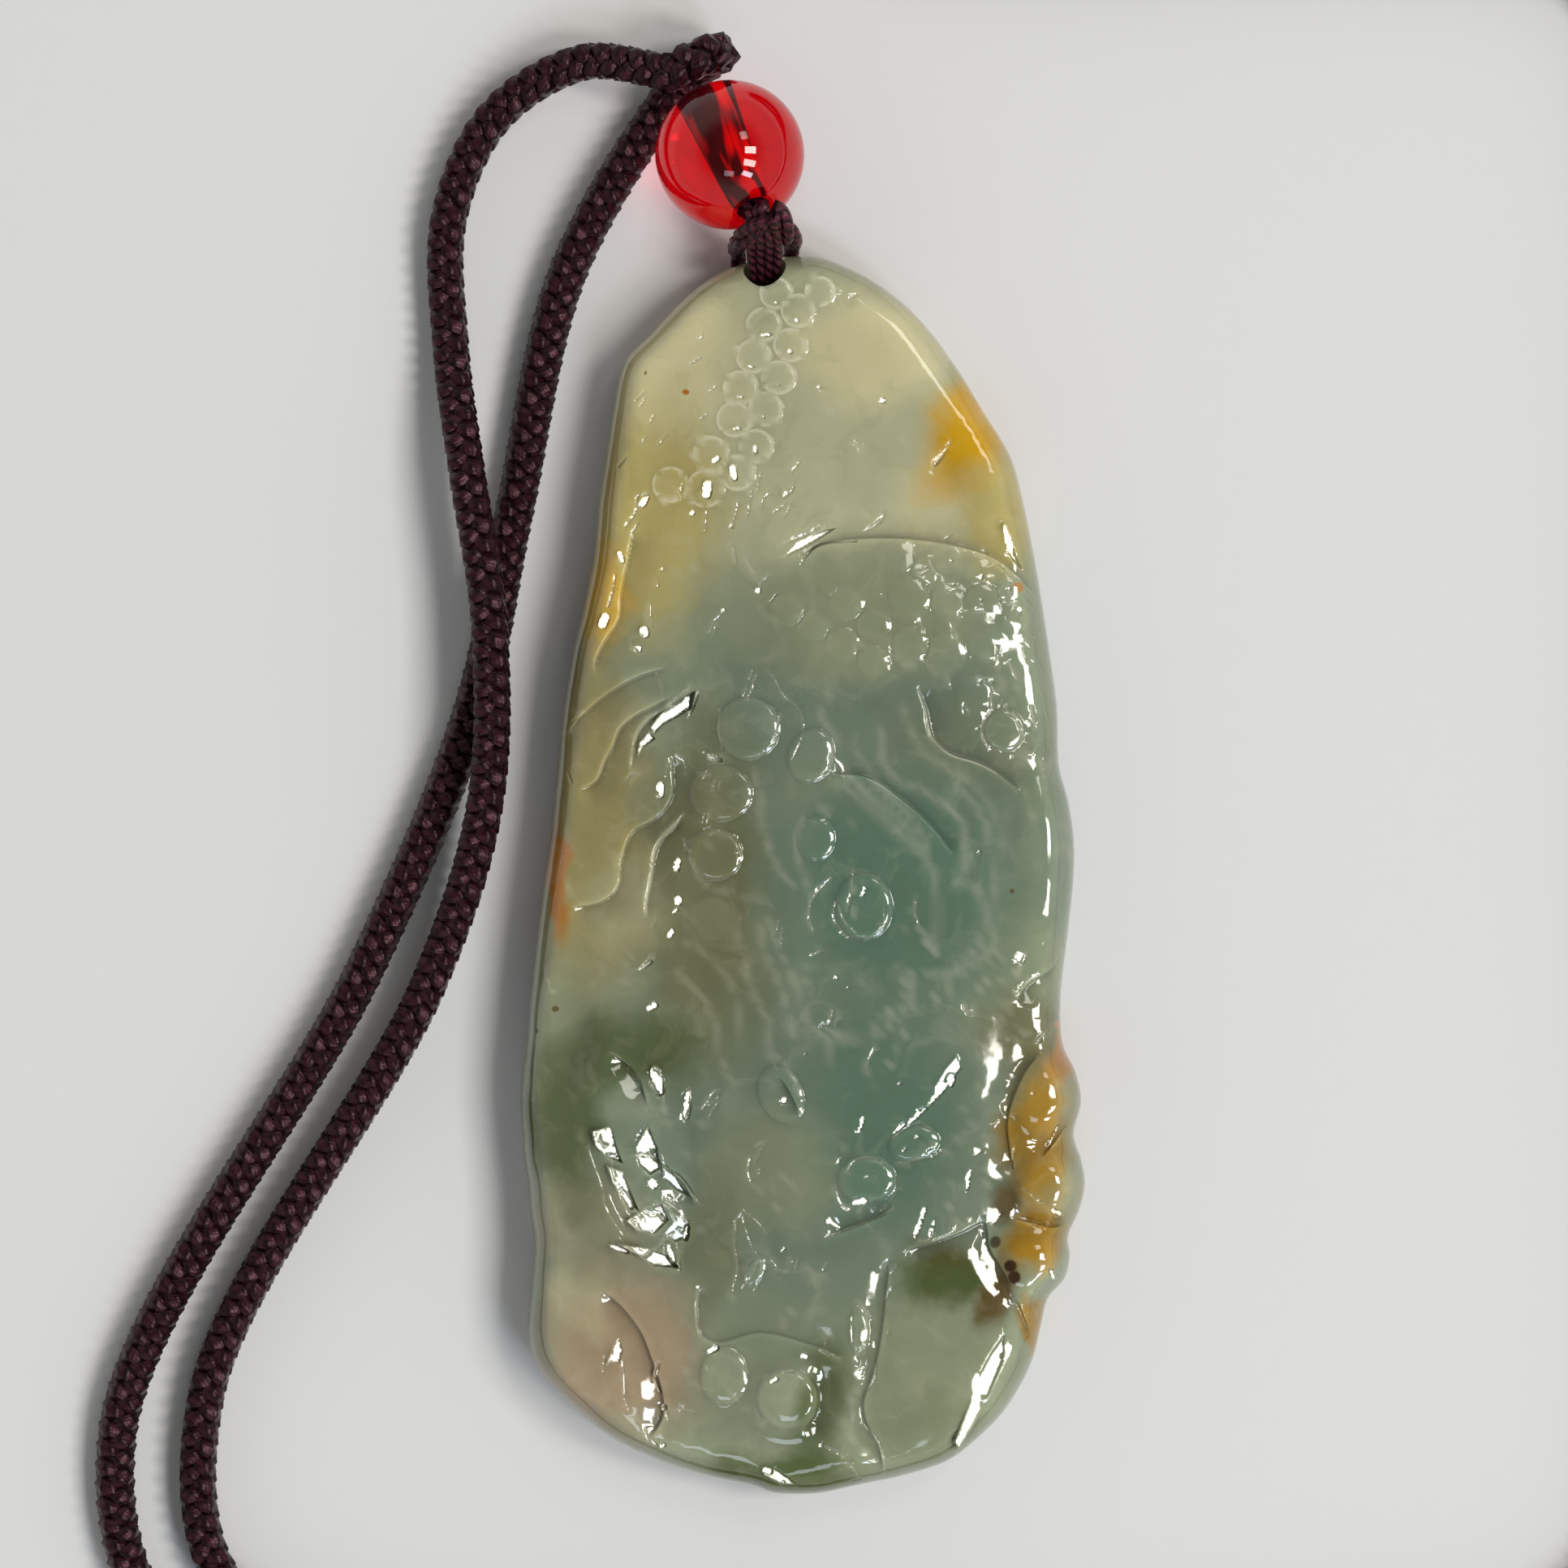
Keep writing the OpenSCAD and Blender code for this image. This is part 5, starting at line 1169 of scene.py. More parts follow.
def plaque_mesh(jade):
    """Points and faces of the whole plaque before its hole is drilled, and for each point its frost, which
    is partly a painted highlight, and the painted shade of its hollow."""
    side, ring = plaque_outline()
    relief = Relief(jade, ring)
    relief.lower_terraces()
    relief.raise_domes()
    relief.lay_scales()
    relief.lay_coins()
    relief.cut_planes()
    relief.cut_facets()
    relief.cut_strokes()
    height = relief.finished()

    way = unit(np.roll(ring, -1, axis=0) - np.roll(ring, 1, axis=0))
    inward = np.stack([-way[:, 1], way[:, 0]], axis=1)
    inner_ring = ring + EDGE_INSET * inward

    left = np.interp(relief.gy, side[:, 0], side[:, 1])
    right = np.interp(relief.gy, side[:, 0], side[:, 2])
    within = (relief.gx > left) & (relief.gx < right) & (np.abs(relief.gy) < HALF_HEIGHT)
    keep = kept_places(height + FROST_AND_HIGHLIGHT_HEIGHT * np.clip(relief.frost_and_highlight, 0, 1),
                       within & (relief.rim > EDGE_INSET + RING_ROOM))
    flat = np.vstack([inner_ring, np.stack([relief.gx[keep], relief.gy[keep]], axis=1)])
    count = len(ring)
    made = delaunay_2d_cdt([Vector(p) for p in flat.tolist()], [], [list(range(count))], 1, 1e-6, True)
    plane = np.array([tuple(p) for p in made[0]])
    top = relief.sample(height, *plane.T)
    rim_spots = np.zeros(count, int)
    for spot, sources in enumerate(made[3]):
        for source in sources:
            if source < count:
                rim_spots[source] = spot
    # The fill also spans the outline's own hollows, which lie outside it
    corners = np.array(made[2])
    on_ring = np.zeros(len(plane), bool)
    on_ring[rim_spots] = True
    doubtful = np.nonzero(on_ring[corners].all(1))[0]
    inside = within_ring(*plane[corners[doubtful]].mean(1).T, inner_ring)
    faces = np.delete(corners, doubtful[~inside], 0).tolist()

    rim_z = jade.rim_height / MM
    reach = jade.rim_reach / MM

    def bulge(d):
        return math.sqrt(1 - (1 - d / reach) ** 2)

    points = [np.column_stack([plane, top])]
    for inset in EDGE_RINGS:
        lift = (top[rim_spots] - rim_z) * bulge(inset) / bulge(EDGE_INSET)
        points.append(np.column_stack([ring + inset * inward, rim_z + lift]))
    back = ring * np.array(BACK_SHRINK)
    for part, level in BACK_RINGS:
        points.append(np.column_stack([ring + part * (back - ring), np.full(count, rim_z * level)]))
    points = np.vstack(points)
    rings = [rim_spots, *np.arange(len(plane), len(points)).reshape(-1, count)]
    for near, far in zip(rings, rings[1:]):
        faces += np.stack([near, far, np.roll(far, -1), np.roll(near, -1)], axis=1).tolist()
    faces.append(rings[-1][::-1].tolist())
    # The rounded edge and the back are polished and have no hollows, so they get neither frost with its
    # painted highlight nor painted shade
    frost_and_shade = np.zeros((len(points), 2))
    for k, table in enumerate((relief.frost_and_highlight * relief.inner, relief.hollow_shade(height))):
        frost_and_shade[:len(plane), k] = relief.sample(table, *plane.T)
    return points, faces, frost_and_shade


def cutter(name, radius, length, place, turn, segments):
    """A round tool for the hole and the groove, made along Z and then turned about X."""
    tool = bmesh.new()
    bmesh.ops.create_cone(tool, cap_ends=True, segments=segments, radius1=radius * MM,
                          radius2=radius * MM, depth=length * MM)
    matrix = Matrix.Translation(Vector(place) * MM) @ Matrix.Rotation(math.radians(turn), 4, "X")
    bmesh.ops.transform(tool, matrix=matrix, verts=tool.verts)
    mesh = bpy.data.meshes.new(name)
    tool.to_mesh(mesh)
    tool.free()
    made = bpy.data.objects.new(name, mesh)
    bpy.context.scene.collection.objects.link(made)
    return made


def cut_out(piece, tools):
    """Cut each tool's shape out of a piece and clear the tools away."""
    for tool in tools:
        modifier = piece.modifiers.new("cut", "BOOLEAN")
        modifier.solver = "MANIFOLD"
        modifier.object = tool
    graph = bpy.context.evaluated_depsgraph_get()
    mesh = bpy.data.meshes.new_from_object(piece.evaluated_get(graph))
    if len(mesh.vertices) == len(piece.data.vertices):
        raise RuntimeError("the plaque was not cut")
    piece.modifiers.clear()
    old = piece.data
    piece.data = mesh
    mesh.name = piece.name
    bpy.data.meshes.remove(old)
    for tool in tools:
        bpy.data.meshes.remove(tool.data)
    mesh.shade_smooth()
    mesh.set_sharp_from_angle(angle=math.radians(55))


# The stone's own tones
MILKY, CELADON, STRAW, HONEY = "#bfb993", "#a8a98a", "#a89b60", "#bd9312"
SAGE, GREY_GREEN, SEA_GREEN, MOSS = "#858b70", "#6a7968", "#55705f", "#455127"
KHAKI, OLIVE, BUFF = "#8d8356", "#696a4c", "#98876e"
AMBER, RUSSET, BROWN, BLACK = "#94700e", "#a86a1c", "#554218", "#33200f"
# Clouds of colour in the stone, laid over each other in this order.
# Columns: x, y, half width, half height, turn, tone, strength.
CLOUDS = (
    (1, 24, 15, 13, 0, CELADON, 1), (3, 6, 15, 13, 0, GREY_GREEN, 1), (1, -14, 17, 14, 0, GREY_GREEN, 1),
    (-7, 28, 6, 8, 0, MILKY, 1), (4, 28, 6, 4.5, 0, MILKY, 1), (7.5, 19.5, 3.5, 4, 0, MILKY, 0.7),
    (-8.5, 19, 6, 9, 8, STRAW, 0.9), (10.8, 19.5, 3, 5, 10, STRAW, 0.9), (3, 14, 9, 5, 0, SAGE, 0.9),
    (-10.6, 14.6, 1.8, 4.8, 4, HONEY, 0.7), (9.6, 24.4, 3, 6.8, 33, HONEY, 1),
    (-11.5, 3, 5, 13, 0, KHAKI, 0.9), (-9.5, -1.5, 3.6, 4, 0, KHAKI, 0.9), (-5.2, -1, 5, 13, 0, OLIVE, 0.9),
    (9, 7, 6, 4, 0, OLIVE, 0.3), (-9.2, -1.6, 3.4, 3.4, 0, CELADON, 0.5),
    (-11.3, 9.8, 2.4, 3.4, 0, BROWN, 0.15), (5.5, -1, 9, 9, 0, SEA_GREEN, 0.9),
    (4.5, -13, 6, 8, 0, SEA_GREEN, 0.8), (13.8, 0.5, 1.8, 6, 0, GREY_GREEN, 0.7),
    (-13.1, -0.5, 0.9, 4.5, -4, RUSSET, 0.9), (-9, -9.5, 5, 3, 0, MOSS, 0.75),
    (-12.6, -13, 3, 5, 0, MOSS, 0.75), (-11, -18.5, 5, 4, 0, BUFF, 0.35),
    (-11.5, -16.8, 2.5, 2.2, 0, MOSS, 0.3), (-9.5, -25.5, 6, 6.5, 12, BUFF, 1),
    (-11.6, -22.6, 2.6, 2.6, 0, MILKY, 0.3), (-4.6, -19, 2.4, 5, 0, OLIVE, 0.6),
    (1.2, -28.2, 2, 4.5, 0, MOSS, 0.7), (-1, -32, 6.5, 1.8, 0, MOSS, 0.9), (7.5, -26, 5, 7, 0, SAGE, 0.7),
    (-1.5, -15.5, 5, 5, 0, SAGE, 0.6), (0.5, 5, 2.5, 2.5, 0, SAGE, 0.3), (6.8, -30, 4, 3, 0, MOSS, 0.2),
    (7.8, -21, 3.4, 2.4, 0, MOSS, 0.95), (7.4, -19.8, 2.2, 1.5, 0, BROWN, 0.35),
    (10.6, -22.2, 1.6, 2.4, 0, BROWN, 0.9), (12, -8, 3, 3, 30, OLIVE, 0.85),
    (14, -9.8, 1.4, 1.8, 0, RUSSET, 0.8), (12.8, -14, 3, 6, 0, AMBER, 0.9),
    (12.4, -19.5, 2.6, 2.4, 0, AMBER, 0.95), (10.8, -17.2, 1.5, 1.5, 0, BROWN, 0.8),
    (12.7, -24, 0.8, 2.6, -8, AMBER, 0.9),
)
# Small dark and rusty inclusions. Columns: x, y, half width, half height, turn, tone, strength.
SPOTS = (
    (-6.05, 25.83, 0.24, 0.18, 10, RUSSET, 1), (11.25, -20.75, 0.42, 0.40, 0, BLACK, 1),
    (11.45, -21.35, 0.42, 0.45, 0, BLACK, 1), (10.45, -19.5, 0.36, 0.40, 20, BLACK, 0.8),
    (11.7, 15.4, 0.35, 0.35, 0, RUSSET, 0.7), (13.9, -8, 0.3, 0.3, 0, RUSSET, 0.6),
    (-8.2, 26.87, 0.08, 0.14, 20, BROWN, 0.8), (11.35, -0.8, 0.15, 0.15, 0, BROWN, 0.8),
    (-13, -7.1, 0.25, 0.2, 0, BROWN, 0.8), (-14, -8.3, 0.1, 0.2, 0, BLACK, 0.6),
)


def jadeite_material(jade):
    """Jadeite, ground and polished: a glassy skin over a cloudy, translucent stone."""
    material, tree, shader = new_material("Jadeite, carved and polished")
    place = add_node(tree, "ShaderNodeTexCoord").outputs["Object"]
    # From here on the pattern's places are in millimetres
    place = add_node(tree, "ShaderNodeVectorMath", {0: place, "Scale": 1 / MM}, operation="SCALE").outputs[0]
    # Zones of colour run into each other over one or two millimetres
    drift = add_node(tree, "ShaderNodeTexNoise", {"Vector": place, "Scale": 0.32, "Detail": 3})
    drift = add_node(tree, "ShaderNodeVectorMath", {0: drift.outputs["Color"], 1: (0.5, 0.5, 0.5)},
                     operation="SUBTRACT").outputs[0]
    warped = add_node(tree, "ShaderNodeVectorMath", {0: drift, 1: (3.4, 3.4, 0), 2: place},
                      operation="MULTIPLY_ADD").outputs[0]
    colour = add_node(tree, "ShaderNodeRGB").outputs[0]
    colour.default_value = (*jade.colour, 1)
    for table, source, edge in ((CLOUDS, warped, 0.35), (SPOTS, place, 0.6)):
        for x, y, wide, high, turn, tone, strength in table:
            near = add_node(tree, "ShaderNodeMapping", {
                "Vector": source, "Location": (x, y, 0), "Rotation": (0, 0, -math.radians(turn)),
                "Scale": (wide, high, 1000)}, vector_type="TEXTURE").outputs["Vector"]
            away = add_node(tree, "ShaderNodeVectorMath", {0: near}, operation="LENGTH").outputs["Value"]
            mask = add_node(tree, "ShaderNodeMapRange", {"Value": away, 1: edge, 2: 1, 3: strength, 4: 0},
                            interpolation_type="SMOOTHSTEP").outputs["Result"]
            colour = add_node(tree, "ShaderNodeMix", {"Factor": mask, 6: colour, 7: paint(tone)},
                              data_type="RGBA").outputs[2]
    # Cloudy veins inside the stone, a few millimetres across, paler and deeper than the rest
    vein = add_node(tree, "ShaderNodeTexNoise", {"Vector": warped, "Scale": 0.42, "Detail": 6,
                                                 "Roughness": 0.62, "Distortion": 0.8}).outputs["Fac"]
    pale = add_node(tree, "ShaderNodeMapRange", {"Value": vein, 1: 0.52, 2: 0.76, 4: 0.16})
    deep = add_node(tree, "ShaderNodeMapRange", {"Value": vein, 1: 0.48, 2: 0.28, 4: 0.18})
    # Grooves are ground but less polished than the rest, so they look paler and frosted; the pale line is
    # also a painted highlight that stands in for the glint along the groove
    frost_and_highlight = add_node(tree, "ShaderNodeAttribute", attribute_name="frost_and_highlight").outputs["Fac"]
    frost_and_highlight = add_node(tree, "ShaderNodeMath", {0: frost_and_highlight, 1: 0.28}, operation="MULTIPLY")
    for mask, tone in ((pale, "#c8c8ae"), (deep, "#4e5c40"), (frost_and_highlight, "#dedcc4")):
        colour = add_node(tree, "ShaderNodeMix", {"Factor": mask.outputs[0], 6: colour, 7: paint(tone)},
                          data_type="RGBA").outputs[2]
    # Painted shade and painted light: hollows are painted darker and ridges paler, by how far each place
    # lies below the ground round it
    hollow_shade = add_node(tree, "ShaderNodeAttribute", attribute_name="hollow_shade").outputs["Fac"]
    shade = add_node(tree, "ShaderNodeMapRange", {"Value": hollow_shade, 1: -1, 2: 1, 3: 1.4, 4: 0.6}).outputs[0]
    colour = add_node(tree, "ShaderNodeVectorMath", {0: colour, "Scale": shade},
                      operation="SCALE").outputs[0]
    # Polish is nearly even, with a faint orange-peel of about a millimetre
    peel = add_node(tree, "ShaderNodeTexNoise", {"Vector": place, "Scale": 1.1, "Detail": 2}).outputs["Fac"]
    bump = add_node(tree, "ShaderNodeBump", {"Height": peel, "Strength": 0.15, "Distance": 0.03 * MM})
    # The IOR is jadeite's
    fill(tree, shader, {
        "Base Color": colour, "Normal": bump.outputs["Normal"], "Roughness": 0.07, "IOR": 1.66,
        "Subsurface Weight": 0.45, "Subsurface Radius": (1, 1, 0.7), "Subsurface Scale": 1.2 * MM})
    return material


# Degrees that the bead's bore leans from upright, and that it is turned in the plan
BEAD_TILT, BEAD_TURN = 60, 22


def bead_place():
    """The bead's middle and radius, and the turn that brings upright to its bore."""
    lowest, highest = (np.array(corner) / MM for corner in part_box("red_bead"))
    turn = (Matrix.Rotation(math.radians(BEAD_TURN), 3, "Z")
            @ Matrix.Rotation(math.radians(BEAD_TILT), 3, "X"))
    return (lowest + highest) / 2, (highest - lowest)[2] / 2, np.array(turn)


def glass_material(colour):
    """Red glass, lampwound and fire-polished: clear, so that its threads and far side show."""
    material, tree, shader = new_material("Red glass, polished")
    place = add_node(tree, "ShaderNodeTexCoord").outputs["Object"]
    place = add_node(tree, "ShaderNodeVectorMath", {0: place, "Scale": 1 / MM}, operation="SCALE").outputs[0]
    # Faint swirls of deeper red, about 3 mm across
    swirl = add_node(tree, "ShaderNodeTexNoise", {"Vector": place, "Scale": 0.35, "Detail": 2,
                                                  "Distortion": 1.5}).outputs["Fac"]
    part = add_node(tree, "ShaderNodeMapRange", {"Value": swirl, 1: 0.35, 2: 0.7}).outputs["Result"]
    deep = tuple(0.75 * c for c in colour)
    mixed = add_node(tree, "ShaderNodeMix", {"Factor": part, 6: (*colour, 1), 7: (*deep, 1)},
                     data_type="RGBA").outputs[2]
    # The IOR is that of soda-lime glass
    fill(tree, shader, {"Base Color": mixed, "Roughness": 0.02, "IOR": 1.5, "Transmission Weight": 0.95,
                        "Specular IOR Level": 0.18})
    return material


def bore_material():
    """Wall of the bead's bore, ground dull by the drill, with the dark threads in streaks against it."""
    material, tree, shader = new_material("Red glass, ground bore")
    place = add_node(tree, "ShaderNodeTexCoord").outputs["Object"]
    # Streaks 0.8 mm across and 4 mm long, which lie along the bore
    place = add_node(tree, "ShaderNodeMapping", {
        "Vector": place, "Rotation": (math.radians(BEAD_TILT), 0, math.radians(BEAD_TURN)),
        "Scale": (0.8 * MM, 0.8 * MM, 4 * MM)}, vector_type="TEXTURE").outputs[0]
    grain = add_node(tree, "ShaderNodeTexNoise", {"Vector": place, "Scale": 1, "Detail": 1.5,
                                                  "Distortion": 0.6}).outputs["Fac"]
    shade = add_node(tree, "ShaderNodeMapRange", {"Value": grain, 1: 0.48, 2: 0.6},
                     interpolation_type="SMOOTHSTEP").outputs["Result"]
    mixed = add_node(tree, "ShaderNodeMix", {"Factor": shade, 6: paint("#240306"), 7: paint("#f01018")},
                     data_type="RGBA").outputs[2]
    fill(tree, shader, {"Base Color": mixed, "Roughness": 0.7})
    return material


def floor_material(colour):
    """Pale card with a matt face and a very fine, even tooth."""
    material, tree, shader = new_material("Card, matt")
    place = add_node(tree, "ShaderNodeTexCoord").outputs["Object"]
    # The tooth is about a millimetre across, coarser than a real card's, so that it shows
    tooth = add_node(tree, "ShaderNodeTexNoise", {"Vector": place, "Scale": 900, "Detail": 3}).outputs["Fac"]
    shade = add_node(tree, "ShaderNodeMapRange", {"Value": tooth, 3: 0.985, 4: 1}).outputs["Result"]
    mixed = add_node(tree, "ShaderNodeVectorMath", {0: colour, "Scale": shade}, operation="SCALE").outputs[0]
    fill(tree, shader, {"Base Color": mixed, "Roughness": 0.9, "Specular IOR Level": 0.2})
    return material


# Sizes and colours that a user would change


class JadeSettings(bpy.types.PropertyGroup):
    """The carved plaque."""

    thickness: FloatProperty(
        name="Thickness", description="Thickness of the plaque at its crown, before the relief",
        default=6.2 * MM, unit="LENGTH")
    rim_height: FloatProperty(
        name="Rim height", description="Height of the widest line of the rim above the back",
        default=2.4 * MM, unit="LENGTH")
    rim_reach: FloatProperty(
        name="Rim reach", description="How far the rounding of the front reaches in from the rim",
        default=1.6 * MM, unit="LENGTH")
    relief: FloatProperty(
        name="Relief", description="Strength of the carving, where 1 is as carved", default=1.0,
        min=0.5, max=1.2, subtype="FACTOR")
    colour: FloatVectorProperty(
        name="Stone", description="Main colour of the stone between its zones",
        default=linear("#838c74"), subtype="COLOR", size=3)


class CordSettings(bpy.types.PropertyGroup):
    """The braided neck cord."""

    diameter: FloatProperty(
        name="Diameter", description="Diameter of the braided cord", default=2.5 * MM, unit="LENGTH")
    lay: FloatProperty(
        name="Lay", description="Length of cord in which a plait goes once round it",
        default=2.06 * MM, unit="LENGTH")
    plait_sides: IntProperty(
        name="Plait sides", description="Sides of each plait's tube", default=6, min=5, max=7)
    rings_per_lay: IntProperty(
        name="Rings per lay", description="Rings of each plait's tube in one lay", default=12,
        min=10, max=14)


class BeadSettings(bpy.types.PropertyGroup):
    """The red glass bead."""

    diameter: FloatProperty(
        name="Diameter", description="Diameter of the bead", unit="LENGTH",
        default=float(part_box("red_bead")[1][2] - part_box("red_bead")[0][2]))
    bore: FloatProperty(
        name="Bore", description="Diameter of the hole through the bead", default=1.7 * MM,
        unit="LENGTH")
    colour: FloatVectorProperty(
        name="Glass", description="Colour of the glass, as light takes it at each face",
        default=(0.64, 0.0, 0.006), subtype="COLOR", size=3)


class StageSettings(bpy.types.PropertyGroup):
    """The floor, the lights and the camera."""

    view_width: FloatProperty(
        name="View width", description="Width that the camera sees at the jade's front",
        default=84 * MM, unit="LENGTH")
    camera_height: FloatProperty(
        name="Camera height", description="Height of the camera above the jade's front",
        default=300 * MM, unit="LENGTH")
    floor_colour: FloatVectorProperty(
        name="Floor", description="Colour of the floor", default=linear("#d9dadc"),
        subtype="COLOR", size=3)
    sky: FloatProperty(
        name="Walls", description="Strength of the even light from all round", default=0.6, min=0.0)
    ceiling: FloatProperty(
        name="Ceiling", description="Strength of the light from straight above", default=0.1, min=0.0)
    pane_power: FloatProperty(
        name="Window", description="Power of each pane of the window light", default=4.6, min=0.0,
        unit="POWER")


# Operators


class PENDANT_OT_stage(bpy.types.Operator):
    """Set the camera, the pale floor and the soft window light"""

    bl_idname = "pendant.stage"
    bl_label = "Camera, Floor and Light"

    # Middle of the photographed field, and the height of the jade's front
    CENTRE = (-0.8, 4.9)
    FRONT = 4.0
    SENSOR = 36.0
    # Half side of the floor, and its height, just under the pendant
    FLOOR_HALF = 1500
    FLOOR_AT = -0.02
    # The walls reach up to the first of these slopes of view, and the ceiling begins at the second
    WALL_TOP = (0.45, 0.85)
    # Panes of the window. Columns: way across, up and out from the middle, width, height, tint.
    PANES = (
        (0.63, 0.08, 1.00, 0.21, 0.36, "#fffaf0"),
        (0.63, -0.33, 1.00, 0.21, 0.40, "#fffaf0"),
        (0.63, -0.76, 1.00, 0.21, 0.40, "#e6f0ff"),
    )
    # Lesser windows further round. Same columns, then their share of a pane's power.
    SIDE_PANES = (
        (0.42, 0.52, 1.00, 0.26, 0.22, "#fffaf0", 0.2),
        (-0.02, -0.66, 1.00, 0.30, 0.20, "#e6f0ff", 0.16),
    )

    def execute(self, context):
        stage = context.scene.pendant_stage
        self.camera(context, stage)
        self.floor(context, stage)
        self.light(context, stage)
        context.scene.view_settings.view_transform = "Standard"
        return {"FINISHED"}

    def camera(self, context, stage):
        data = bpy.data.cameras.new("camera")
        data.sensor_width = self.SENSOR
        data.lens = self.SENSOR * stage.camera_height / stage.view_width
        data.clip_start = 0.01
        camera = bpy.data.objects.new("camera", data)
        camera.location = (self.CENTRE[0] * MM, self.CENTRE[1] * MM,
                           self.FRONT * MM + stage.camera_height)
        context.scene.collection.objects.link(camera)
        context.scene.camera = camera

    def floor(self, context, stage):
        half = self.FLOOR_HALF
        points = [(x * half, y * half, self.FLOOR_AT) for x, y in ((-1, -1), (1, -1), (1, 1), (-1, 1))]
        floor = mesh_piece("floor", points, [(0, 1, 2, 3)], floor_material(tuple(stage.floor_colour)))

    def light(self, context, stage):
        world = bpy.data.worlds.new("studio")
        world.use_nodes = True
        tree = world.node_tree
        way = add_node(tree, "ShaderNodeTexCoord").outputs["Generated"]
        height = add_node(tree, "ShaderNodeSeparateXYZ", {0: way}).outputs["Z"]
        # Walls are pale and the ceiling is dark, so that flat polished faces keep their own colour
        low, high = self.WALL_TOP
        bright = add_node(tree, "ShaderNodeMapRange", {
            "Value": height, 1: low, 2: high, 3: stage.sky, 4: stage.ceiling},
            interpolation_type="SMOOTHSTEP").outputs["Result"]
        fill(tree, tree.nodes["Background"], {"Color": paint("#fffdf8"), "Strength": bright})
        context.scene.world = world
        panes = [(*pane, 1.0) for pane in self.PANES] + list(self.SIDE_PANES)
        for i, (x, y, z, wide, high, tint, share) in enumerate(panes):
            data = bpy.data.lights.new(f"pane_{i}", "AREA")
            data.shape = "RECTANGLE"
            data.size = wide
            data.size_y = high
            data.energy = stage.pane_power * share
            data.color = linear(tint)
            pane = bpy.data.objects.new(f"pane_{i}", data)
            pane.location = (x, y, z)
            pane.rotation_euler = Vector((x, y * 0.2, z)).to_track_quat("Z", "Y").to_euler()
            context.scene.collection.objects.link(pane)


class PENDANT_OT_cord(bpy.types.Operator):
    """Braid the neck cord and its fold over the bead"""

    bl_idname = "pendant.cord"
    bl_label = "Braided Cord"

    PATH_EVERY = 20

    def execute(self, context):
        cord = context.scene.pendant_cord
        loop = Loop()
        # The second colour is the cord's painted glint
        material = nylon_material("Nylon cord, braided and dyed", "#0a0405", "#2e121a",
                                  roughness=0.34, filament=0.07, ply=0.55)
        neck = braid("neck_cord_braid", loop, 0, loop.cord_length, cord, material, "neck_cord")
        fold = braid("cord_fold_braid", loop, loop.cord_length, loop.length, cord, material, "cord_fold")
        return {"FINISHED"}


class PENDANT_OT_thread(bpy.types.Operator):
    """Lay the thin threads through the bead, the jade and their hitch"""

    bl_idname = "pendant.thread"
    bl_label = "Hanging Thread"

    # Half width of the bundle in the bore, and how far inside the bead's surface it starts and ends
    BUNDLE = 0.76
    START_IN, END_IN = 0.75, 0.3
    SIDES = 8

    def execute(self, context):
        bead, radius, turn = bead_place()
        way = turn[:, 2]
        far, near = bead - way * (radius - self.START_IN), bead + way * (radius - self.END_IN)
        legs = [(*spot, self.BUNDLE, self.BUNDLE) for spot in (far, (far + near) / 2, near)]
        # The second colour is the thread's painted glint
        material = nylon_material("Nylon thread, twisted and dyed", "#0e0307", "#50202c",
                                  roughness=0.24, filament=0.07, ply=0.6)
        tubes = (thread_run(legs + list(LEG_ROWS), count=4, turns=0, sides=self.SIDES, parts=8)
                 + thread_run(BIGHT_ROWS, count=3, turns=5, sides=self.SIDES, parts=10))
        strand_piece("hanging_threads", tubes, self.SIDES, material, "thread", "hanging_thread")
        return {"FINISHED"}


class PENDANT_OT_bead(bpy.types.Operator):
    """Turn the red glass bead round its bore"""

    bl_idname = "pendant.bead"
    bl_label = "Glass Bead"

    SEGMENTS = 96
    ARC_STEPS = 48
    BORE_STEPS = 12
    # Size of the blunt edge round each end of the bore
    LIP = 0.12

    def execute(self, context):
        settings = context.scene.pendant_bead
        radius = settings.diameter / MM / 2
        bore = settings.bore / MM / 2
        start = math.asin((bore + self.LIP) / radius)
        arc = [(radius * math.sin(a), radius * math.cos(a))
               for a in np.linspace(start, math.pi - start, self.ARC_STEPS)]
        end = arc[0][1] - self.LIP
        inner = [(bore, z) for z in np.linspace(-end, end, self.BORE_STEPS)]
        profile = arc + inner
        count = len(profile)
        points = [(r * math.cos(a), r * math.sin(a), z)
                  for a in np.linspace(0, 2 * math.pi, self.SEGMENTS, endpoint=False) for r, z in profile]
        grid = np.arange(len(points)).reshape(self.SEGMENTS, count)
        beside = np.roll(grid, -1, axis=0)
        faces = np.stack([grid, np.roll(grid, -1, axis=1), np.roll(beside, -1, axis=1), beside], axis=-1)
        middle, _, turn = bead_place()
        placed = np.array(points) @ turn.T + middle
        piece = mesh_piece("glass_bead", placed, faces.reshape(-1, 4).tolist(),
                           glass_material(tuple(settings.colour)), "bead", "red_bead")
        piece.data.materials.append(bore_material())
        bored = [int(len(arc) <= k < count - 1) for _ in range(self.SEGMENTS) for k in range(count)]
        piece.data.polygons.foreach_set("material_index", bored)
        # Clear glass gathers light beneath it and casts no dark shadow
        piece.visible_shadow = False
        return {"FINISHED"}


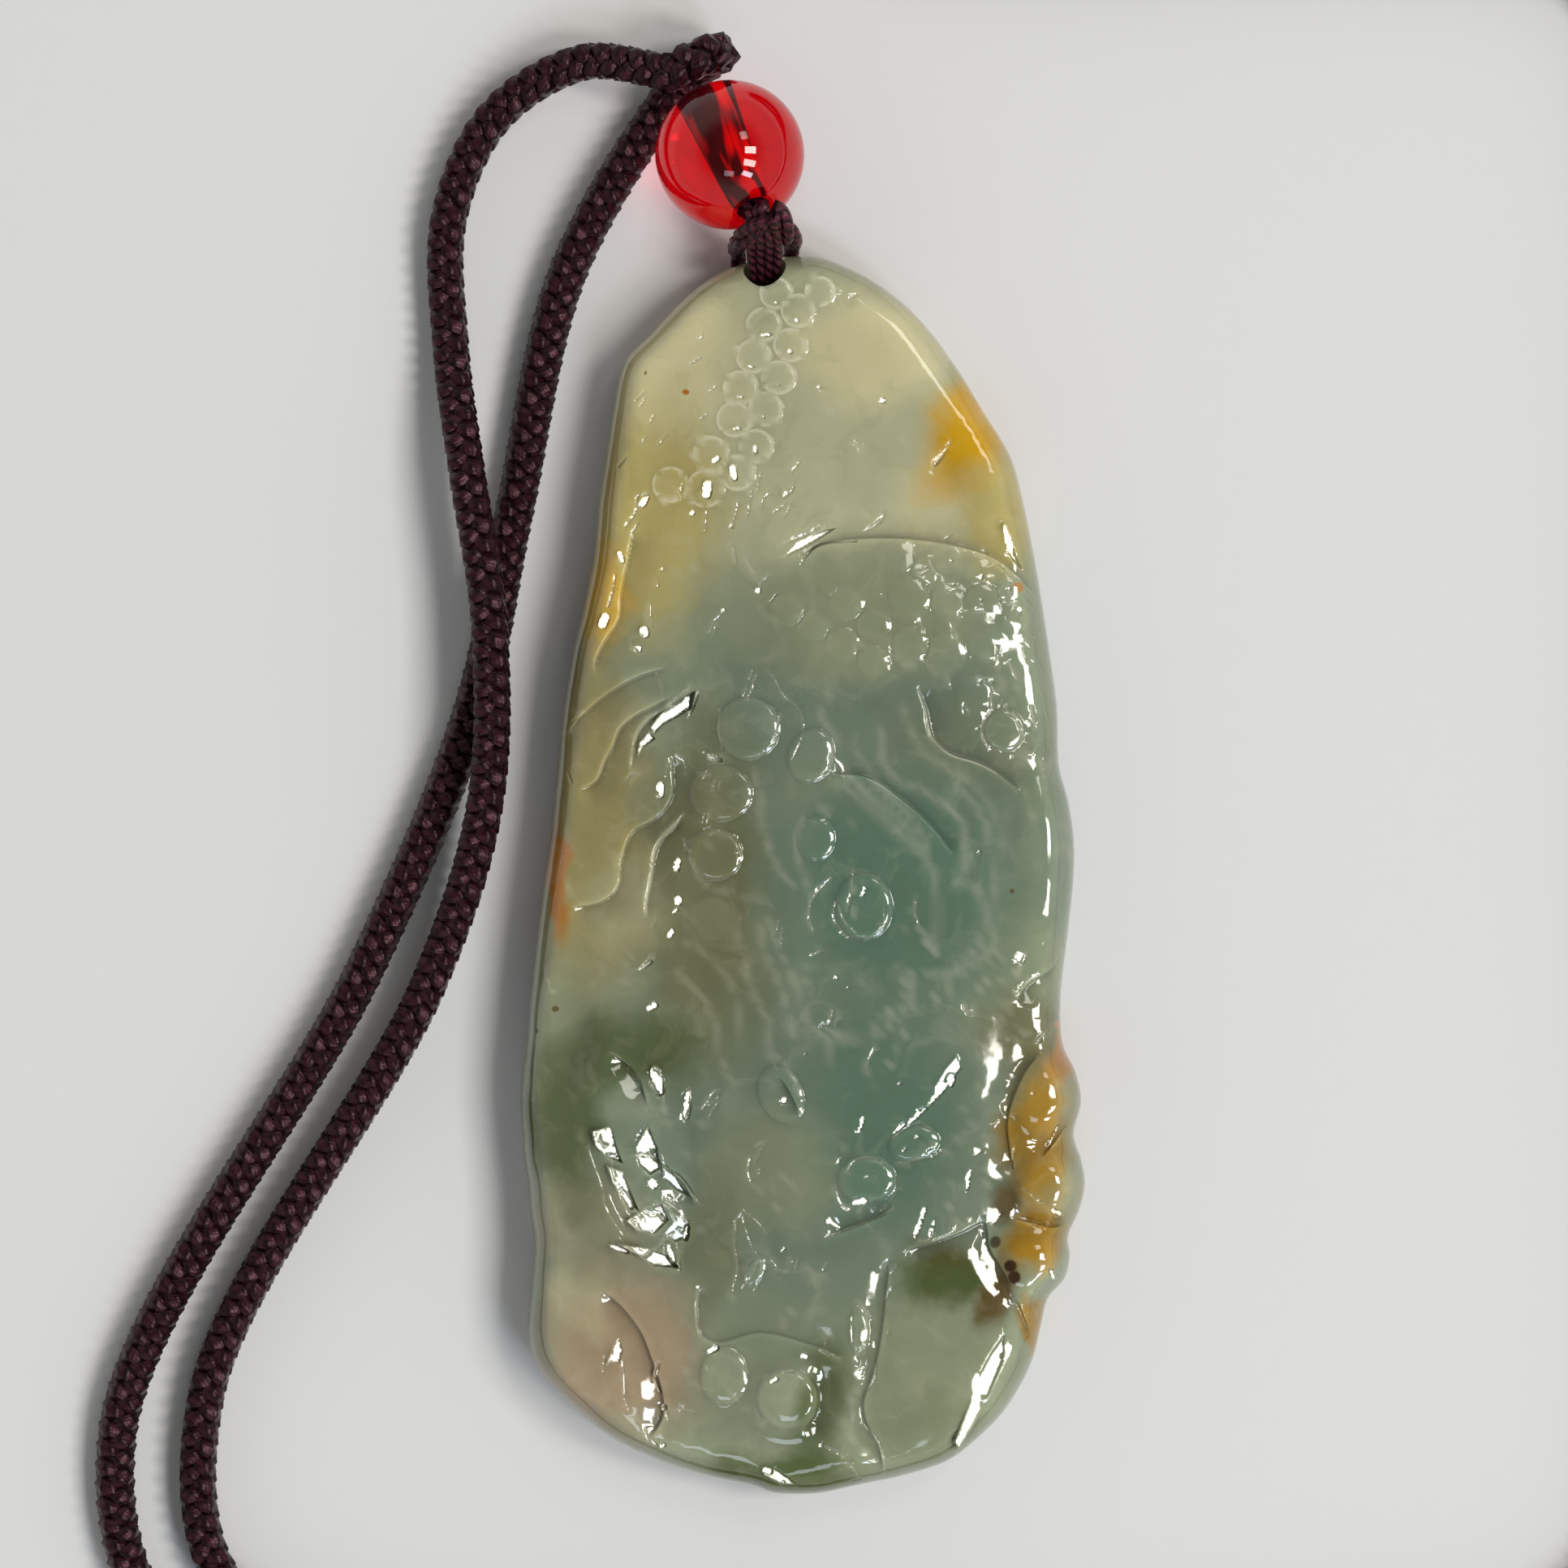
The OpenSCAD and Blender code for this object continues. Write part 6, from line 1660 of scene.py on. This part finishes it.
class PENDANT_OT_jade(bpy.types.Operator):
    """Carve the jade plaque's relief and drill its hole"""

    bl_idname = "pendant.jade"
    bl_label = "Jade Plaque"

    def execute(self, context):
        jade = context.scene.pendant_jade
        points, faces, frost_and_shade = plaque_mesh(jade)
        piece = mesh_piece("carved_jade", points, faces, jadeite_material(jade), "jade", "jade_plaque")
        # Frost, partly a painted highlight, and the painted shade of hollows go into the stone's colour
        for name, values in (("frost_and_highlight", frost_and_shade[:, 0]), ("hollow_shade", frost_and_shade[:, 1])):
            layer = piece.data.attributes.new(name, "FLOAT", "POINT")
            layer.data.foreach_set("value", values)
        hole = cutter("hole", HOLE_RADIUS, HOLE_LENGTH, HOLE_TOP, -HOLE_SLANT, HOLE_SIDES)
        groove_middle = (HOLE_X, GROOVE_FROM + GROOVE_LENGTH / 2, GROOVE_DEPTH - GROOVE_RADIUS)
        groove = cutter("groove", GROOVE_RADIUS, GROOVE_LENGTH, groove_middle, 90, GROOVE_SIDES)
        cut_out(piece, [hole, groove])
        return {"FINISHED"}


class PENDANT_PT_panel(bpy.types.Panel):
    """Sizes and colours of the pendant, and the steps that make it"""

    bl_label = "Carved Jade Pendant"
    bl_idname = "PENDANT_PT_panel"
    bl_space_type = "VIEW_3D"
    bl_region_type = "UI"
    bl_category = "Pendant"

    def draw(self, context):
        for name, group, operators in PARTS:
            box = self.layout.box()
            for field in group.__annotations__:
                box.prop(getattr(context.scene, name), field)
            for operator in operators:
                box.operator(operator.bl_idname)


# Columns: name of the settings on the scene, their group, operators that use them
PARTS = (
    ("pendant_stage", StageSettings, (PENDANT_OT_stage,)),
    ("pendant_cord", CordSettings, (PENDANT_OT_cord,)),
    ("pendant_bead", BeadSettings, (PENDANT_OT_thread, PENDANT_OT_bead)),
    ("pendant_jade", JadeSettings, (PENDANT_OT_jade,)),
)


def register():
    for name, group, operators in PARTS:
        for item in (group, *operators):
            bpy.utils.register_class(item)
        setattr(bpy.types.Scene, name, PointerProperty(type=group))
    bpy.utils.register_class(PENDANT_PT_panel)


def unregister():
    bpy.utils.unregister_class(PENDANT_PT_panel)
    for name, group, operators in reversed(PARTS):
        delattr(bpy.types.Scene, name)
        for item in (*operators, group):
            bpy.utils.unregister_class(item)


def main():
    register()
    bpy.ops.pendant.stage()
    bpy.ops.pendant.cord()
    bpy.ops.pendant.thread()
    bpy.ops.pendant.bead()
    bpy.ops.pendant.jade()


if __name__ == "__main__":
    main()
